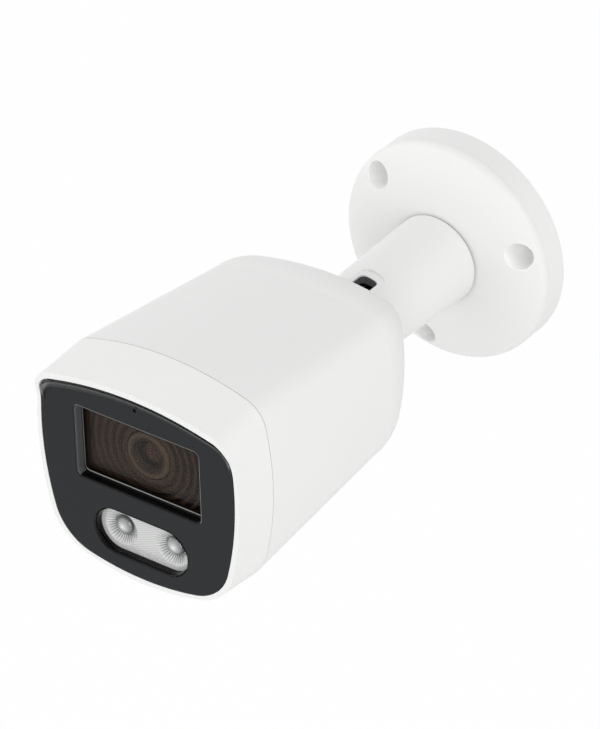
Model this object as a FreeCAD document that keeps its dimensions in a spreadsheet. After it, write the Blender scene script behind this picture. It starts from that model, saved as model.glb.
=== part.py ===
import FreeCAD, Part
import math
import os
import Sketcher

# A compact bullet security camera on a three-way arm, as an assembly of separate pieces.
# Millimetres, +Z up. The origin is the centre of the base where it meets the wall, the wall is
# the plane Y = 0, and the camera looks along -Y. "Reach" is a distance from the wall.

os.makedirs("parts", exist_ok=True)
doc = FreeCAD.newDocument("security_camera")
sheet = doc.addObject("Spreadsheet::Sheet", "Sizes")
Vector = FreeCAD.Vector


class Size:
    """A number together with the sheet expression that gives it."""

    def __init__(self, value, text):
        self.value = float(value)
        self.text = text

    def __add__(self, other):
        other = as_size(other)
        return Size(self.value + other.value, f"({self.text} + {other.text})")

    def __sub__(self, other):
        other = as_size(other)
        return Size(self.value - other.value, f"({self.text} - {other.text})")

    def __mul__(self, other):
        other = as_size(other)
        return Size(self.value * other.value, f"({self.text} * {other.text})")

    def __truediv__(self, other):
        other = as_size(other)
        return Size(self.value / other.value, f"({self.text} / {other.text})")

    def __neg__(self):
        return Size(-self.value, f"(0 - {self.text})")

    def root(self):
        return Size(math.sqrt(self.value), f"sqrt({self.text})")

    def __radd__(self, other):
        return as_size(other) + self

    def __rsub__(self, other):
        return as_size(other) - self

    def __rmul__(self, other):
        return as_size(other) * self


def as_size(value):
    return value if isinstance(value, Size) else Size(value, f"({float(value)!r})")


rows = []


def size(alias, value):
    """Writes one driving dimension into the sheet and returns it."""
    rows.append(alias)
    row = len(rows)
    sheet.set(f"A{row}", alias)
    sheet.set(f"B{row}", str(value))
    sheet.setAlias(f"B{row}", alias)
    return Size(value, f"Sizes.{alias}")


# ---------------------------------------------------------------------------------------------
# Bodies, sketches and features
# ---------------------------------------------------------------------------------------------

PLANES = {"front": "XZ_Plane", "side": "YZ_Plane", "plan": "XY_Plane"}
nodes = []


def new_body(label, x=0, reach=0, z=0):
    """A sub-part with its own origin at (x, -reach, z)."""
    body = doc.addObject("PartDesign::Body", label)
    body.Label = label
    for axis, place in (("x", x), ("y", -as_size(reach)), ("z", z)):
        body.setExpression(f"Placement.Base.{axis}", as_size(place).text)
    nodes.append(body)
    return body


def origin_part(body, role):
    return next(feature for feature in body.Origin.OriginFeatures if feature.Role == role)


def new_sketch(body, plane, offset=0):
    """A sketch on one of the body's own origin planes, moved along that plane's normal."""
    sketch = body.newObject("Sketcher::SketchObject", body.Label + "_sketch")
    sketch.AttachmentSupport = [(origin_part(body, PLANES[plane]), "")]
    sketch.MapMode = "FlatFace"
    sketch.setExpression("AttachmentOffset.Base.z", as_size(offset).text)
    return sketch


def constrain(sketch, kind, *where, to=None):
    """Adds a constraint, and binds it to a size where it has one."""
    if to is None:
        sketch.addConstraint(Sketcher.Constraint(kind, *where))
        return
    index = sketch.addConstraint(Sketcher.Constraint(kind, *where, as_size(to).value))
    sketch.setExpression(f"Constraints[{index}]", as_size(to).text)


def pin_point(sketch, geometry, position, x, y):
    constrain(sketch, "DistanceX", -1, 1, geometry, position, to=x)
    constrain(sketch, "DistanceY", -1, 1, geometry, position, to=y)


def draw_polygon(sketch, points):
    """A closed outline of straight lines, each corner tied to its two sizes."""
    corners = [Vector(as_size(x).value, as_size(y).value, 0) for x, y in points]
    count = len(corners)
    first = sketch.GeometryCount
    for index in range(count):
        sketch.addGeometry(Part.LineSegment(corners[index], corners[(index + 1) % count]), False)
    for index, (x, y) in enumerate(points):
        constrain(sketch, "Coincident", first + index, 2, first + (index + 1) % count, 1)
        pin_point(sketch, first + index, 1, x, y)


def draw_circle(sketch, radius, x=0, y=0):
    centre = Vector(as_size(x).value, as_size(y).value, 0)
    circle = Part.Circle(centre, Vector(0, 0, 1), as_size(radius).value)
    index = sketch.addGeometry(circle, False)
    pin_point(sketch, index, 3, x, y)
    constrain(sketch, "Radius", index, to=radius)


def draw_rectangle(sketch, width, height, x=0, y=0):
    half_w = as_size(width) / 2
    half_h = as_size(height) / 2
    draw_polygon(
        sketch,
        [(x - half_w, y - half_h), (x + half_w, y - half_h), (x + half_w, y + half_h), (x - half_w, y + half_h)],
    )


def draw_bent(sketch, points, bends):
    """A closed outline in which some lines are arcs: the radius of the line after a corner,
    positive where it turns left on the way and negative where it turns right."""
    corners = [Vector(as_size(x).value, as_size(y).value, 0) for x, y in points]
    count = len(corners)
    ends = []
    for index in range(count):
        start, end = corners[index], corners[(index + 1) % count]
        bend = as_size(bends.get(index, 0)).value
        if bend == 0:
            sketch.addGeometry(Part.LineSegment(start, end), False)
            ends.append((1, 2))
            continue
        half = (end - start).Length / 2
        height = math.copysign(math.sqrt(bend**2 - half**2), bend)
        across = Vector(start.y - end.y, end.x - start.x, 0).normalize()
        centre = (start + end) * 0.5 + across * height
        first, last = (start, end) if bend > 0 else (end, start)
        arc(sketch, (centre.x, centre.y), abs(bend), (first.x, first.y), (last.x, last.y))
        ends.append((1, 2) if bend > 0 else (2, 1))
    for index, (x, y) in enumerate(points):
        follower = (index + 1) % count
        constrain(sketch, "Coincident", index, ends[index][1], follower, ends[follower][0])
        pin_point(sketch, index, ends[index][0], x, y)
    for index, bend in bends.items():
        bend = as_size(bend)
        constrain(sketch, "Radius", index, to=bend if bend.value > 0 else -bend)


def arc(sketch, centre, radius, start, end):
    """An arc about a centre, counterclockwise from one point to another."""
    first = math.atan2(start[1] - centre[1], start[0] - centre[0])
    last = math.atan2(end[1] - centre[1], end[0] - centre[0])
    circle = Part.Circle(Vector(centre[0], centre[1], 0), Vector(0, 0, 1), radius)
    return sketch.addGeometry(Part.ArcOfCircle(circle, first, last), False)


def draw_rounded(sketch, width, height, corner, x=0, y=0):
    """A rectangle with round corners: four lines and four tangent arcs."""
    half_w, half_h = as_size(width) / 2, as_size(height) / 2
    x, y, corner = as_size(x), as_size(y), as_size(corner)
    left, right = (x - half_w).value, (x + half_w).value
    low, high = (y - half_h).value, (y + half_h).value
    bend = corner.value
    first = sketch.GeometryCount
    turns = [
        ((right - bend, low), (right, low + bend), (right - bend, low + bend)),
        ((right, high - bend), (right - bend, high), (right - bend, high - bend)),
        ((left + bend, high), (left, high - bend), (left + bend, high - bend)),
        ((left, low + bend), (left + bend, low), (left + bend, low + bend)),
    ]
    previous = (left + bend, low)
    for start, end, centre in turns:
        sketch.addGeometry(Part.LineSegment(Vector(*previous, 0), Vector(*start, 0)), False)
        arc(sketch, centre, bend, start, end)
        previous = end
    for index in range(8):
        constrain(sketch, "Tangent", first + index, 2, first + (index + 1) % 8, 1)
    for index, kind in zip((0, 2, 4, 6), ("Horizontal", "Vertical", "Horizontal", "Vertical")):
        constrain(sketch, kind, first + index)
    constrain(sketch, "DistanceY", -1, 1, first, 1, to=y - half_h)
    constrain(sketch, "DistanceX", -1, 1, first + 2, 1, to=x + half_w)
    constrain(sketch, "DistanceY", -1, 1, first + 4, 1, to=y + half_h)
    constrain(sketch, "DistanceX", -1, 1, first + 6, 1, to=x - half_w)
    constrain(sketch, "Radius", first + 1, to=corner)
    for index in (3, 5, 7):
        constrain(sketch, "Equal", first + 1, first + index)


def feature(body, kind, **settings):
    """A PartDesign feature: sizes are bound to the sheet, other settings are set as they are."""
    made = body.newObject("PartDesign::" + kind, body.Label + "_" + kind.lower())
    for name, setting in settings.items():
        if isinstance(setting, Size):
            made.setExpression(name, setting.text)
        else:
            setattr(made, name, setting)
    return made


def pad(body, sketch, length, **settings):
    return feature(body, "Pad", Profile=sketch, Length=as_size(length), **settings)


def pocket(body, sketch, depth=None, **settings):
    """A pocket towards the wall, or right through where no depth is given."""
    if depth is None:
        return feature(body, "Pocket", Profile=sketch, Type=1, **settings)
    return feature(body, "Pocket", Profile=sketch, Length=as_size(depth), **settings)


def turn(body, points, kind="Revolution"):
    """Turns a profile of (reach, radius) corners about the body's own Y axis."""
    sketch = new_sketch(body, "side")
    draw_polygon(sketch, [(-as_size(reach), radius) for reach, radius in points])
    return feature(body, kind, Profile=sketch, ReferenceAxis=(sketch, ["H_Axis"]), Angle=360.0)


def ring_pattern(body, features, count):
    """Repeats features about the body's Y axis."""
    pattern = feature(body, "PolarPattern", Originals=features, Occurrences=count)
    pattern.Axis = (origin_part(body, "Y_Axis"), [""])
    pattern.Angle = 360.0
    body.Tip = pattern
    return pattern


def mirror(body, features, plane="YZ_Plane"):
    copy = feature(body, "Mirrored", Originals=features)
    copy.MirrorPlane = (origin_part(body, plane), [""])
    body.Tip = copy
    return copy


def turned(body, degrees):
    """Turns a body about its own Y axis; positive is clockwise as the wall sees it."""
    body.setExpression("Placement.Rotation.Axis.x", "0")
    body.setExpression("Placement.Rotation.Axis.y", "1")
    body.setExpression("Placement.Rotation.Axis.z", "0")
    body.setExpression("Placement.Rotation.Angle", as_size(degrees).text)


# ---------------------------------------------------------------------------------------------
# The shield outline that the housing, the cover, the panel and their seals share
# ---------------------------------------------------------------------------------------------


def meet(centre_a, reach_a, centre_b, reach_b, upwards):
    """The right-hand point at given distances from two centres, the upper or the lower one."""
    dx, dz = centre_b[0] - centre_a[0], centre_b[1] - centre_a[1]
    span = math.hypot(dx, dz)
    along = (reach_a**2 - reach_b**2 + span**2) / (2 * span)
    side = math.sqrt(max(reach_a**2 - along**2, 0.0))
    found = []
    for sign in (1, -1):
        found.append(
            (
                centre_a[0] + (dx * along - sign * dz * side) / span,
                centre_a[1] + (dz * along + sign * dx * side) / span,
            )
        )
    return max(found, key=lambda point: point[0] + (point[1] if upwards else -point[1]))


def beyond(centre, through, radius):
    """The point of a circle in the direction of another point."""
    dx, dz = through[0] - centre[0], through[1] - centre[1]
    span = math.hypot(dx, dz)
    return (centre[0] + dx / span * radius, centre[1] + dz / span * radius)


class Outline:
    """A rounded shield of eight tangent arcs: bowed top, sides and bottom, and four corners."""

    FIELDS = ("half_width", "side_radius", "side_level", "top", "top_radius", "bottom", "bottom_radius")
    FIELDS += ("top_corner", "bottom_corner")

    def __init__(self, *values):
        for name, value in zip(self.FIELDS, values):
            setattr(self, name, as_size(value))

    def inset(self, gap):
        """The same outline, smaller all round by a gap."""
        grown = {name: getattr(self, name) - gap for name in self.FIELDS}
        grown["side_level"] = self.side_level
        grown["bottom"] = self.bottom + gap
        return Outline(*[grown[name] for name in self.FIELDS])

    def scaled(self, share):
        return Outline(*[getattr(self, name) * share for name in self.FIELDS])

    def blended(self, other, share):
        """An outline part of the way towards another one."""
        return Outline(
            *[getattr(self, name) + (getattr(other, name) - getattr(self, name)) * share for name in self.FIELDS]
        )

    def draw(self, sketch):
        side = (self.half_width.value - self.side_radius.value, self.side_level.value)
        top = (0.0, self.top.value - self.top_radius.value)
        low = (0.0, self.bottom.value + self.bottom_radius.value)
        big, small = self.top_corner.value, self.bottom_corner.value
        upper = meet(side, self.side_radius.value - big, top, self.top_radius.value - big, True)
        lower = meet(side, self.side_radius.value - small, low, self.bottom_radius.value - small, False)
        side_top = beyond(side, upper, self.side_radius.value)
        top_end = beyond(top, upper, self.top_radius.value)
        side_low = beyond(side, lower, self.side_radius.value)
        low_end = beyond(low, lower, self.bottom_radius.value)

        def left(point):
            return (-point[0], point[1])

        first = sketch.GeometryCount
        arc(sketch, side, self.side_radius.value, side_low, side_top)
        arc(sketch, upper, big, side_top, top_end)
        arc(sketch, top, self.top_radius.value, top_end, left(top_end))
        arc(sketch, left(upper), big, left(top_end), left(side_top))
        start = math.atan2(side_top[1] - side[1], -(side_top[0] - side[0]))
        end = math.atan2(side_low[1] - side[1], -(side_low[0] - side[0])) % (2 * math.pi)
        circle = Part.Circle(Vector(-side[0], side[1], 0), Vector(0, 0, 1), self.side_radius.value)
        sketch.addGeometry(Part.ArcOfCircle(circle, start, end), False)
        arc(sketch, left(lower), small, left(side_low), left(low_end))
        arc(sketch, low, self.bottom_radius.value, left(low_end), low_end)
        arc(sketch, lower, small, low_end, side_low)
        for index in range(8):
            constrain(sketch, "Tangent", first + index, 2, first + (index + 1) % 8, 1)
        middle = self.half_width - self.side_radius
        pin_point(sketch, first, 3, middle, self.side_level)
        pin_point(sketch, first + 4, 3, -middle, self.side_level)
        constrain(sketch, "PointOnObject", first + 2, 3, -2)
        constrain(sketch, "PointOnObject", first + 6, 3, -2)
        constrain(sketch, "DistanceY", -1, 1, first + 2, 3, to=self.top - self.top_radius)
        constrain(sketch, "DistanceY", -1, 1, first + 6, 3, to=self.bottom + self.bottom_radius)
        radii = (
            (0, self.side_radius),
            (1, self.top_corner),
            (2, self.top_radius),
            (3, self.top_corner),
            (4, self.side_radius),
            (5, self.bottom_corner),
            (6, self.bottom_radius),
            (7, self.bottom_corner),
        )
        for index, radius in radii:
            constrain(sketch, "Radius", first + index, to=radius)


def outline_sketch(body, reach, *outlines):
    sketch = new_sketch(body, "front", reach)
    for outline in outlines:
        outline.draw(sketch)
    return sketch


def loft(body, kind, sections, ruled=False):
    """A loft through (reach, outline) sections."""
    sketches = [outline_sketch(body, reach, outline) for reach, outline in sections]
    return feature(body, kind, Profile=sketches[0], Sections=sketches[1:], Ruled=ruled)


# ---------------------------------------------------------------------------------------------
# Driving dimensions
# ---------------------------------------------------------------------------------------------

wall = size("wall_thickness", 2.4)
fit_gap = size("fit_gap", 0.1)
turn_gap = size("turning_gap", 0.05)

# base
base_radius = size("base_radius", 31.5)
base_rim = size("base_rim_height", 6.5)
foot_reach = size("arm_foot_reach", 13.0)
socket_radius = size("base_socket_radius", 9.6)
screw_circle = size("wall_screw_circle_radius", 26.4)
screw_hole = size("wall_screw_hole_radius", 2.3)
screw_recess = size("wall_screw_recess_radius", 3.8)
screw_floor = size("wall_screw_floor", 2.6)
screw_angle = size("wall_screw_angle", 48.0)
gasket_thickness = size("base_gasket_thickness", 1.0)
column_radius = screw_recess + 0.9

# arm and knuckle
arm_foot_radius = size("arm_foot_radius", 12.55)
arm_end_radius = size("arm_end_radius", 11.45)
arm_length = size("arm_length", 38.4)
arm_bore = size("arm_bore_radius", 8.5)
slot_angle = size("slot_angle", 10.8)
slot_width = size("slot_width", 5.4)
slot_depth = size("slot_depth", 6.7)
pivot_below_end = size("pivot_below_arm_end", 7.9)
hub_radius = size("knuckle_hub_radius", 6.4)
hub_width = size("knuckle_hub_width", 9.4)
neck_width = size("knuckle_neck_width", 4.8)
pin_radius = size("tilt_pin_radius", 2.0)
spigot_radius = size("knuckle_spigot_radius", 9.0)

# camera body
neck_gap = size("arm_to_housing_gap", 5.3)
dome_radius = size("housing_dome_radius", 20.7)
dome_depth = size("housing_dome_depth", 16.9)
barrel_length = size("housing_barrel_length", 52.7)
cover_length = size("front_cover_length", 13.4)
seam_gap = size("seam_gap", 0.2)

arm_end = foot_reach + arm_length
pivot_reach = arm_end - pivot_below_end
rear_reach = arm_end + neck_gap
shoulder_reach = rear_reach + dome_depth
seam_reach = shoulder_reach + barrel_length
face_reach = seam_reach + cover_length

panel_line = Outline(
    size("panel_half_width", 29.9),
    size("panel_side_radius", 92.0),
    size("panel_side_level", 6.4),
    size("panel_top", 24.4),
    size("panel_top_radius", 100.0),
    size("panel_bottom", -28.9),
    size("panel_bottom_radius", 74.0),
    size("panel_top_corner", 5.8),
    size("panel_bottom_corner", 14.0),
)
front_line = Outline(
    size("front_half_width", 31.2),
    size("front_side_radius", 98.0),
    size("front_side_level", 5.8),
    size("front_top", 27.2),
    size("front_top_radius", 108.0),
    size("front_bottom", -29.9),
    size("front_bottom_radius", 76.0),
    size("front_top_corner", 7.1),
    size("front_bottom_corner", 14.2),
)
seam_line = Outline(
    size("seam_half_width", 31.65),
    size("seam_side_radius", 84.0),
    size("seam_side_level", 3.5),
    size("seam_top", 30.1),
    size("seam_top_radius", 83.0),
    size("seam_bottom", -33.9),
    size("seam_bottom_radius", 42.0),
    size("seam_top_corner", 8.3),
    size("seam_bottom_corner", 18.0),
)
rear_line = Outline(
    size("rear_half_width", 28.4),
    size("rear_side_radius", 79.0),
    size("rear_side_level", 3.3),
    size("rear_top", 24.1),
    size("rear_top_radius", 98.0),
    size("rear_bottom", -26.5),
    size("rear_bottom_radius", 55.0),
    size("rear_top_corner", 7.3),
    size("rear_bottom_corner", 14.0),
)

# ---------------------------------------------------------------------------------------------
# Base: a moulded round plate with an upright rim, a crease, and a cap that rounds over to a face
# that rises slightly to the arm. The wall side is hollow, with three screw columns. Wall screws
# sink into round recesses from the front.
# ---------------------------------------------------------------------------------------------

base_dome_radius = size("base_dome_radius", 32.0)
base_wall = size("base_wall", 2.6)
shoulder = size("base_shoulder_reach", 9.6)
shoulder_round = size("base_shoulder_round", 4.0)
cap_draft = size("base_cap_draft", 0.6)
flange_top = size("base_flange_reach", 10.4)
flange_floor = size("base_flange_floor", 8.0)
flange_radius = size("base_flange_radius", 16.5)

base = new_body("wall_base")
profile = new_sketch(base, "side")
draw_bent(
    profile,
    [
        (-foot_reach, socket_radius),
        (-foot_reach, arm_foot_radius + 0.2),
        (-shoulder, base_radius - cap_draft),
        (-base_rim, base_radius),
        (0, base_radius),
        (0, base_radius - base_wall),
        (-shoulder + base_wall * 1.5, base_radius - base_wall),
        (-flange_floor, flange_radius),
        (-flange_floor, socket_radius),
    ],
    {1: -base_dome_radius, 2: -shoulder_round},
)
feature(base, "Revolution", Profile=profile, ReferenceAxis=(profile, ["H_Axis"]), Angle=360.0)
column = new_sketch(base, "front")
draw_circle(column, column_radius, 0, screw_circle)
columns = pad(base, column, shoulder - base_wall + 0.2)
recess = new_sketch(base, "front", foot_reach)
draw_circle(recess, screw_recess, 0, screw_circle)
recesses = pocket(base, recess, foot_reach - screw_floor)
hole = new_sketch(base, "front", foot_reach)
draw_circle(hole, screw_hole, 0, screw_circle)
holes = pocket(base, hole)
ring_pattern(base, [columns, recesses, holes], 3)
turned(base, -screw_angle)

# Foam gasket that seals the base to the wall
gasket = new_body("base_gasket")
gasket_outer = base_radius - base_wall - fit_gap
gasket_inner = screw_circle - column_radius - 2.6
turn(gasket, [(0, gasket_inner), (0, gasket_outer), (gasket_thickness, gasket_outer), (gasket_thickness, gasket_inner)])
hole = new_sketch(gasket, "front", gasket_thickness)
draw_circle(hole, column_radius + 0.2, 0, screw_circle)
ring_pattern(gasket, [pocket(gasket, hole)], 3)
turned(gasket, -screw_angle)

# ---------------------------------------------------------------------------------------------
# Arm: a hollow cone with a spigot that turns in the base. Its open end has the slot that the
# knuckle's neck swings out through, with a shallow ledge moulded round the slot.
# ---------------------------------------------------------------------------------------------

spigot = size("arm_spigot_length", 5.0)
end_round = size("arm_end_round", 3.0)
ledge_width = size("slot_ledge_width", 9.4)
ledge_reach = size("slot_ledge_reach", 2.3)
ledge_depth = size("slot_ledge_depth", 0.5)
pan_ring_radius = size("pan_ring_radius", 13.6)
pan_screw_circle = size("pan_screw_circle_radius", 6.9)

arm = new_body("arm")
foot_gap = size("arm_foot_gap", 0.5)
arm_spigot_radius = socket_radius - turn_gap
turn(
    arm,
    [
        (foot_reach - spigot, size("pan_bore_radius", 4.8)),
        (foot_reach - spigot, arm_spigot_radius),
        (foot_reach + foot_gap, arm_spigot_radius),
        (foot_reach + foot_gap, arm_foot_radius),
        (arm_end, arm_end_radius),
        (arm_end, arm_bore),
        (foot_reach + 3.5, arm_bore),
        (foot_reach + 1.5, Size(4.8, "Sizes.pan_bore_radius")),
    ],
)
ledge = new_sketch(arm, "plan", arm_end_radius - ledge_depth)
draw_rounded(ledge, ledge_width, (slot_depth + ledge_reach) * 2, 4.0, 0, -arm_end)
ledge_cut = pocket(arm, ledge, 6, Reversed=True)
slot = new_sketch(arm, "plan", 0)
draw_rounded(slot, slot_width, slot_depth * 2, 1.6, 0, -arm_end)
slot_cut = pocket(arm, slot, Reversed=True)
pin_hole = new_sketch(arm, "side", 0)
draw_circle(pin_hole, pin_radius, -pivot_reach, 0)
pocket(arm, pin_hole, (arm_bore + 1.6) * 2, Midplane=True)
lock_hole = new_sketch(arm, "plan", 0)
draw_circle(lock_hole, 2.0, 0, -pivot_reach)
pocket(arm, lock_hole)
screw_bore = new_sketch(arm, "front", foot_reach - spigot)
draw_circle(screw_bore, 0.9, 0, pan_screw_circle)
screw_bores = pocket(arm, screw_bore, 4.5, Reversed=True)
ring_pattern(arm, [screw_bores], 3)
doc.recompute()


def round_edges(body, radius, wanted, kind="Fillet", **settings):
    """Rounds or bevels the edges of the body's tip whose middle point answers to wanted."""
    base_feature = body.Tip
    names = []
    for index, edge in enumerate(base_feature.Shape.Edges):
        point = edge.valueAt((edge.FirstParameter + edge.LastParameter) / 2)
        if wanted(point, edge):
            names.append(f"Edge{index + 1}")
    amount = {"Radius": as_size(radius)} if kind == "Fillet" else {"Size": as_size(radius)}
    return feature(body, kind, Base=(base_feature, names), **amount, **settings)


def at_arm_end(point, edge):
    out = math.hypot(point.x, point.z)
    return abs(point.y + arm_end.value) < 0.01 and abs(out - arm_end_radius.value) < 0.3


round_edges(arm, end_round, at_arm_end)
turned(arm, slot_angle)

# Friction washer and the ring that clamp the arm to the base, screwed to the arm's spigot
washer_thickness = size("pan_washer_thickness", 0.6)
washer = new_body("pan_washer")
washer_low = flange_floor - washer_thickness
washer_bore = arm_spigot_radius + 0.3
turn(
    washer,
    [(washer_low, washer_bore), (washer_low, pan_ring_radius), (flange_floor, pan_ring_radius), (flange_floor, washer_bore)],
)

pan_ring = new_body("pan_ring")
ring_low = size("pan_ring_reach", 4.6)
ring_step = foot_reach - spigot
turn(
    pan_ring,
    [
        (ring_low, Size(4.8, "Sizes.pan_bore_radius")),
        (ring_low, pan_ring_radius - 0.6),
        (ring_low + 0.6, pan_ring_radius),
        (washer_low, pan_ring_radius),
        (washer_low, arm_spigot_radius),
        (ring_step, arm_spigot_radius),
        (ring_step, Size(4.8, "Sizes.pan_bore_radius")),
    ],
)
hole = new_sketch(pan_ring, "front", ring_step)
draw_circle(hole, 1.15, 0, pan_screw_circle)
through = pocket(pan_ring, hole)
ring_pattern(pan_ring, [through], 3)
turned(pan_ring, slot_angle)


def screws(label, count, circle, head_reach, head_radius, head_height, shank_radius, shank_length, forwards):
    """Cross-recessed screws on a circle about Y; their heads sit at head_reach."""
    sign = 1 if forwards else -1
    body = new_body(label)
    head = new_sketch(body, "front", head_reach)
    draw_circle(head, head_radius, 0, circle)
    first = pad(body, head, head_height, Reversed=forwards)
    shank = new_sketch(body, "front", head_reach)
    draw_circle(shank, shank_radius, 0, circle)
    second = pad(body, shank, shank_length, Reversed=not forwards)
    cross = new_sketch(body, "front", as_size(head_reach) - as_size(head_height) * sign)
    arm_half = as_size(head_radius) * 0.62
    blade = as_size(head_radius) * 0.16
    middle = as_size(circle)
    draw_polygon(
        cross,
        [
            (-arm_half, middle - blade),
            (-blade, middle - blade),
            (-blade, middle - arm_half),
            (blade, middle - arm_half),
            (blade, middle - blade),
            (arm_half, middle - blade),
            (arm_half, middle + blade),
            (blade, middle + blade),
            (blade, middle + arm_half),
            (-blade, middle + arm_half),
            (-blade, middle + blade),
            (-arm_half, middle + blade),
        ],
    )
    third = pocket(body, cross, as_size(head_height) * 0.5, Reversed=forwards)
    if count > 1:
        ring_pattern(body, [first, second, third], count)
    return body


def screw_set(label, plane, level, places, head, shank, up=False, **place):
    """Screws at (x, y) places of a plane: head and shank are (radius, length); heads lie beyond
    the level, shanks before it, and the other way round where up is set."""
    body = new_body(label, **place)
    heads = new_sketch(body, plane, level)
    shanks = new_sketch(body, plane, level)
    top = as_size(level) + (as_size(head[1]) if up else -as_size(head[1]))
    slots = new_sketch(body, plane, top)
    for x, y in places:
        draw_circle(heads, head[0], x, y)
        draw_circle(shanks, shank[0], x, y)
        draw_rectangle(slots, as_size(head[0]) * 1.3, as_size(head[0]) * 0.32, x, y)
    pad(body, heads, head[1], Reversed=not up)
    pad(body, shanks, shank[1], Reversed=up)
    pocket(body, slots, as_size(head[1]) * 0.45, Reversed=not up)
    return body


pan_screws = screws("pan_screws", 3, pan_screw_circle, ring_low, 1.9, 1.3, 0.88, ring_step - ring_low + 4.2, True)
turned(pan_screws, slot_angle)

# Cross pin of the tilt joint, pressed into the arm's two cheeks
pin = new_body("tilt_pin", 0, pivot_reach, 0)
sketch = new_sketch(pin, "side", 0)
draw_circle(sketch, pin_radius, 0, 0)
pad(pin, sketch, (arm_bore + 1.5) * 2, Midplane=True)
turned(pin, slot_angle)

# Two friction washers on the pin, between the knuckle's hub and the arm's cheeks
washers = new_body("tilt_washers", 0, pivot_reach, 0)
washer_gap = size("tilt_washer_thickness", 0.8)
for side in (-1, 1):
    middle = (hub_width / 2 + turn_gap + washer_gap / 2) * side
    sketch = new_sketch(washers, "side", middle)
    draw_circle(sketch, 4.4, 0, 0)
    draw_circle(sketch, pin_radius + 0.02, 0, 0)
    pad(washers, sketch, washer_gap, Midplane=True)
turned(washers, slot_angle)

# Lock screw under the arm and the brake shoe it presses on the knuckle's hub
shoe_gap = size("brake_shoe_thickness", 1.4)
shoe = new_body("brake_shoe", 0, pivot_reach, 0)
turned(shoe, slot_angle)
sketch = new_sketch(shoe, "plan", -(hub_radius + turn_gap + shoe_gap))
draw_circle(sketch, 1.9, 0, 0)
pad(shoe, sketch, shoe_gap + 1)
curve = new_sketch(shoe, "side", 0)
draw_circle(curve, hub_radius + turn_gap, 0, 0)
pocket(shoe, curve, 8, Midplane=True)
lock_screw = new_body("tilt_lock_screw", 0, pivot_reach, 0)
turned(lock_screw, slot_angle)
lock_top = -(hub_radius + turn_gap + shoe_gap)
sketch = new_sketch(lock_screw, "plan", lock_top)
draw_circle(sketch, 1.95, 0, 0)
pad(lock_screw, sketch, 3.0, Reversed=True)
socket = new_sketch(lock_screw, "plan", lock_top - 3.0)
hexagon = 1.15
draw_polygon(
    socket,
    [(hexagon * math.cos(math.radians(60 * k)), hexagon * math.sin(math.radians(60 * k))) for k in range(6)],
)
pocket(lock_screw, socket, 1.6, Reversed=True)

# ---------------------------------------------------------------------------------------------
# Knuckle: a hub on the cross pin, a neck that clears the slot's end, and a spigot on which the
# camera turns about its own axis.
# ---------------------------------------------------------------------------------------------

spigot_depth = size("knuckle_spigot_depth", 9.0)
neck_offset = size("knuckle_neck_offset", 1.4)
neck_depth = size("knuckle_neck_depth", 4.6)
hub_groove_offset = size("hub_groove_offset", 1.6)
hub_groove_width = size("hub_groove_width", 0.8)
hub_groove_depth = size("hub_groove_depth", 0.5)
knuckle = new_body("tilt_knuckle", 0, pivot_reach, 0)
turned(knuckle, slot_angle)
hub = new_sketch(knuckle, "side", 0)
draw_circle(hub, hub_radius, 0, 0)
pad(knuckle, hub, hub_width, Midplane=True)
for side in (-1, 1):
    hub_groove = new_sketch(knuckle, "side", hub_groove_offset * side)
    draw_circle(hub_groove, hub_radius + 1, 0, 0)
    draw_circle(hub_groove, hub_radius - hub_groove_depth, 0, 0)
    pocket(knuckle, hub_groove, hub_groove_width, Midplane=True)
neck_top = rear_reach - pivot_reach + fit_gap * 2
neck = new_sketch(knuckle, "front", neck_top)
draw_rounded(neck, neck_width, neck_depth, 1.2, 0, -neck_offset - neck_depth / 2)
pad(knuckle, neck, neck_top, Reversed=True)
disc = new_sketch(knuckle, "front", neck_top)
draw_circle(disc, spigot_radius, 0, 0)
pad(knuckle, disc, spigot_depth)
bore = new_sketch(knuckle, "side", 0)
draw_circle(bore, pin_radius + turn_gap, 0, 0)
pocket(knuckle, bore, hub_width * 2, Midplane=True)
gland_x = size("gland_offset", 5.2)
gland_radius = size("gland_radius", 2.4)
gland_hole = new_sketch(knuckle, "front", neck_top + spigot_depth)
draw_circle(gland_hole, gland_radius, gland_x, 0)
pocket(knuckle, gland_hole, spigot_depth + 0.5)
groove_reach = neck_top + 2.2
seal_thickness = size("rear_seal_thickness", 1.2)
turn(
    knuckle,
    [
        (groove_reach, spigot_radius - 0.9),
        (groove_reach, spigot_radius + 1),
        (groove_reach + seal_thickness + 0.1, spigot_radius + 1),
        (groove_reach + seal_thickness + 0.1, spigot_radius - 0.9),
    ],
    "Groove",
)
clip_reach = neck_top + size("rear_clip_reach", 6.6)
clip_thickness = size("rear_clip_thickness", 0.8)
turn(
    knuckle,
    [
        (clip_reach, spigot_radius - 0.8),
        (clip_reach, spigot_radius + 1),
        (clip_reach + clip_thickness + 0.05, spigot_radius + 1),
        (clip_reach + clip_thickness + 0.05, spigot_radius - 0.8),
    ],
    "Groove",
)

# Rubber ring in the spigot's groove, spring clip behind the housing's boss, and the cable gland
seal = new_body("rear_seal", 0, pivot_reach, 0)
turn(
    seal,
    [
        (groove_reach + 0.05, spigot_radius - 0.85),
        (groove_reach + 0.05, spigot_radius),
        (groove_reach + 0.05 + seal_thickness, spigot_radius),
        (groove_reach + 0.05 + seal_thickness, spigot_radius - 0.85),
    ],
)
clip = new_body("rear_clip", 0, pivot_reach, 0)
turn(
    clip,
    [
        (clip_reach + 0.02, spigot_radius - 0.75),
        (clip_reach + 0.02, spigot_radius + 2),
        (clip_reach + 0.02 + clip_thickness, spigot_radius + 2),
        (clip_reach + 0.02 + clip_thickness, spigot_radius - 0.75),
    ],
)
mouth = new_sketch(clip, "front", clip_reach + 3)
draw_rectangle(mouth, 7, 9, 0, spigot_radius + 0.5)
pocket(clip, mouth, 6)
turned(clip, slot_angle)
gland = new_body("cable_gland", 0, pivot_reach, 0)
turned(gland, slot_angle)
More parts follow.
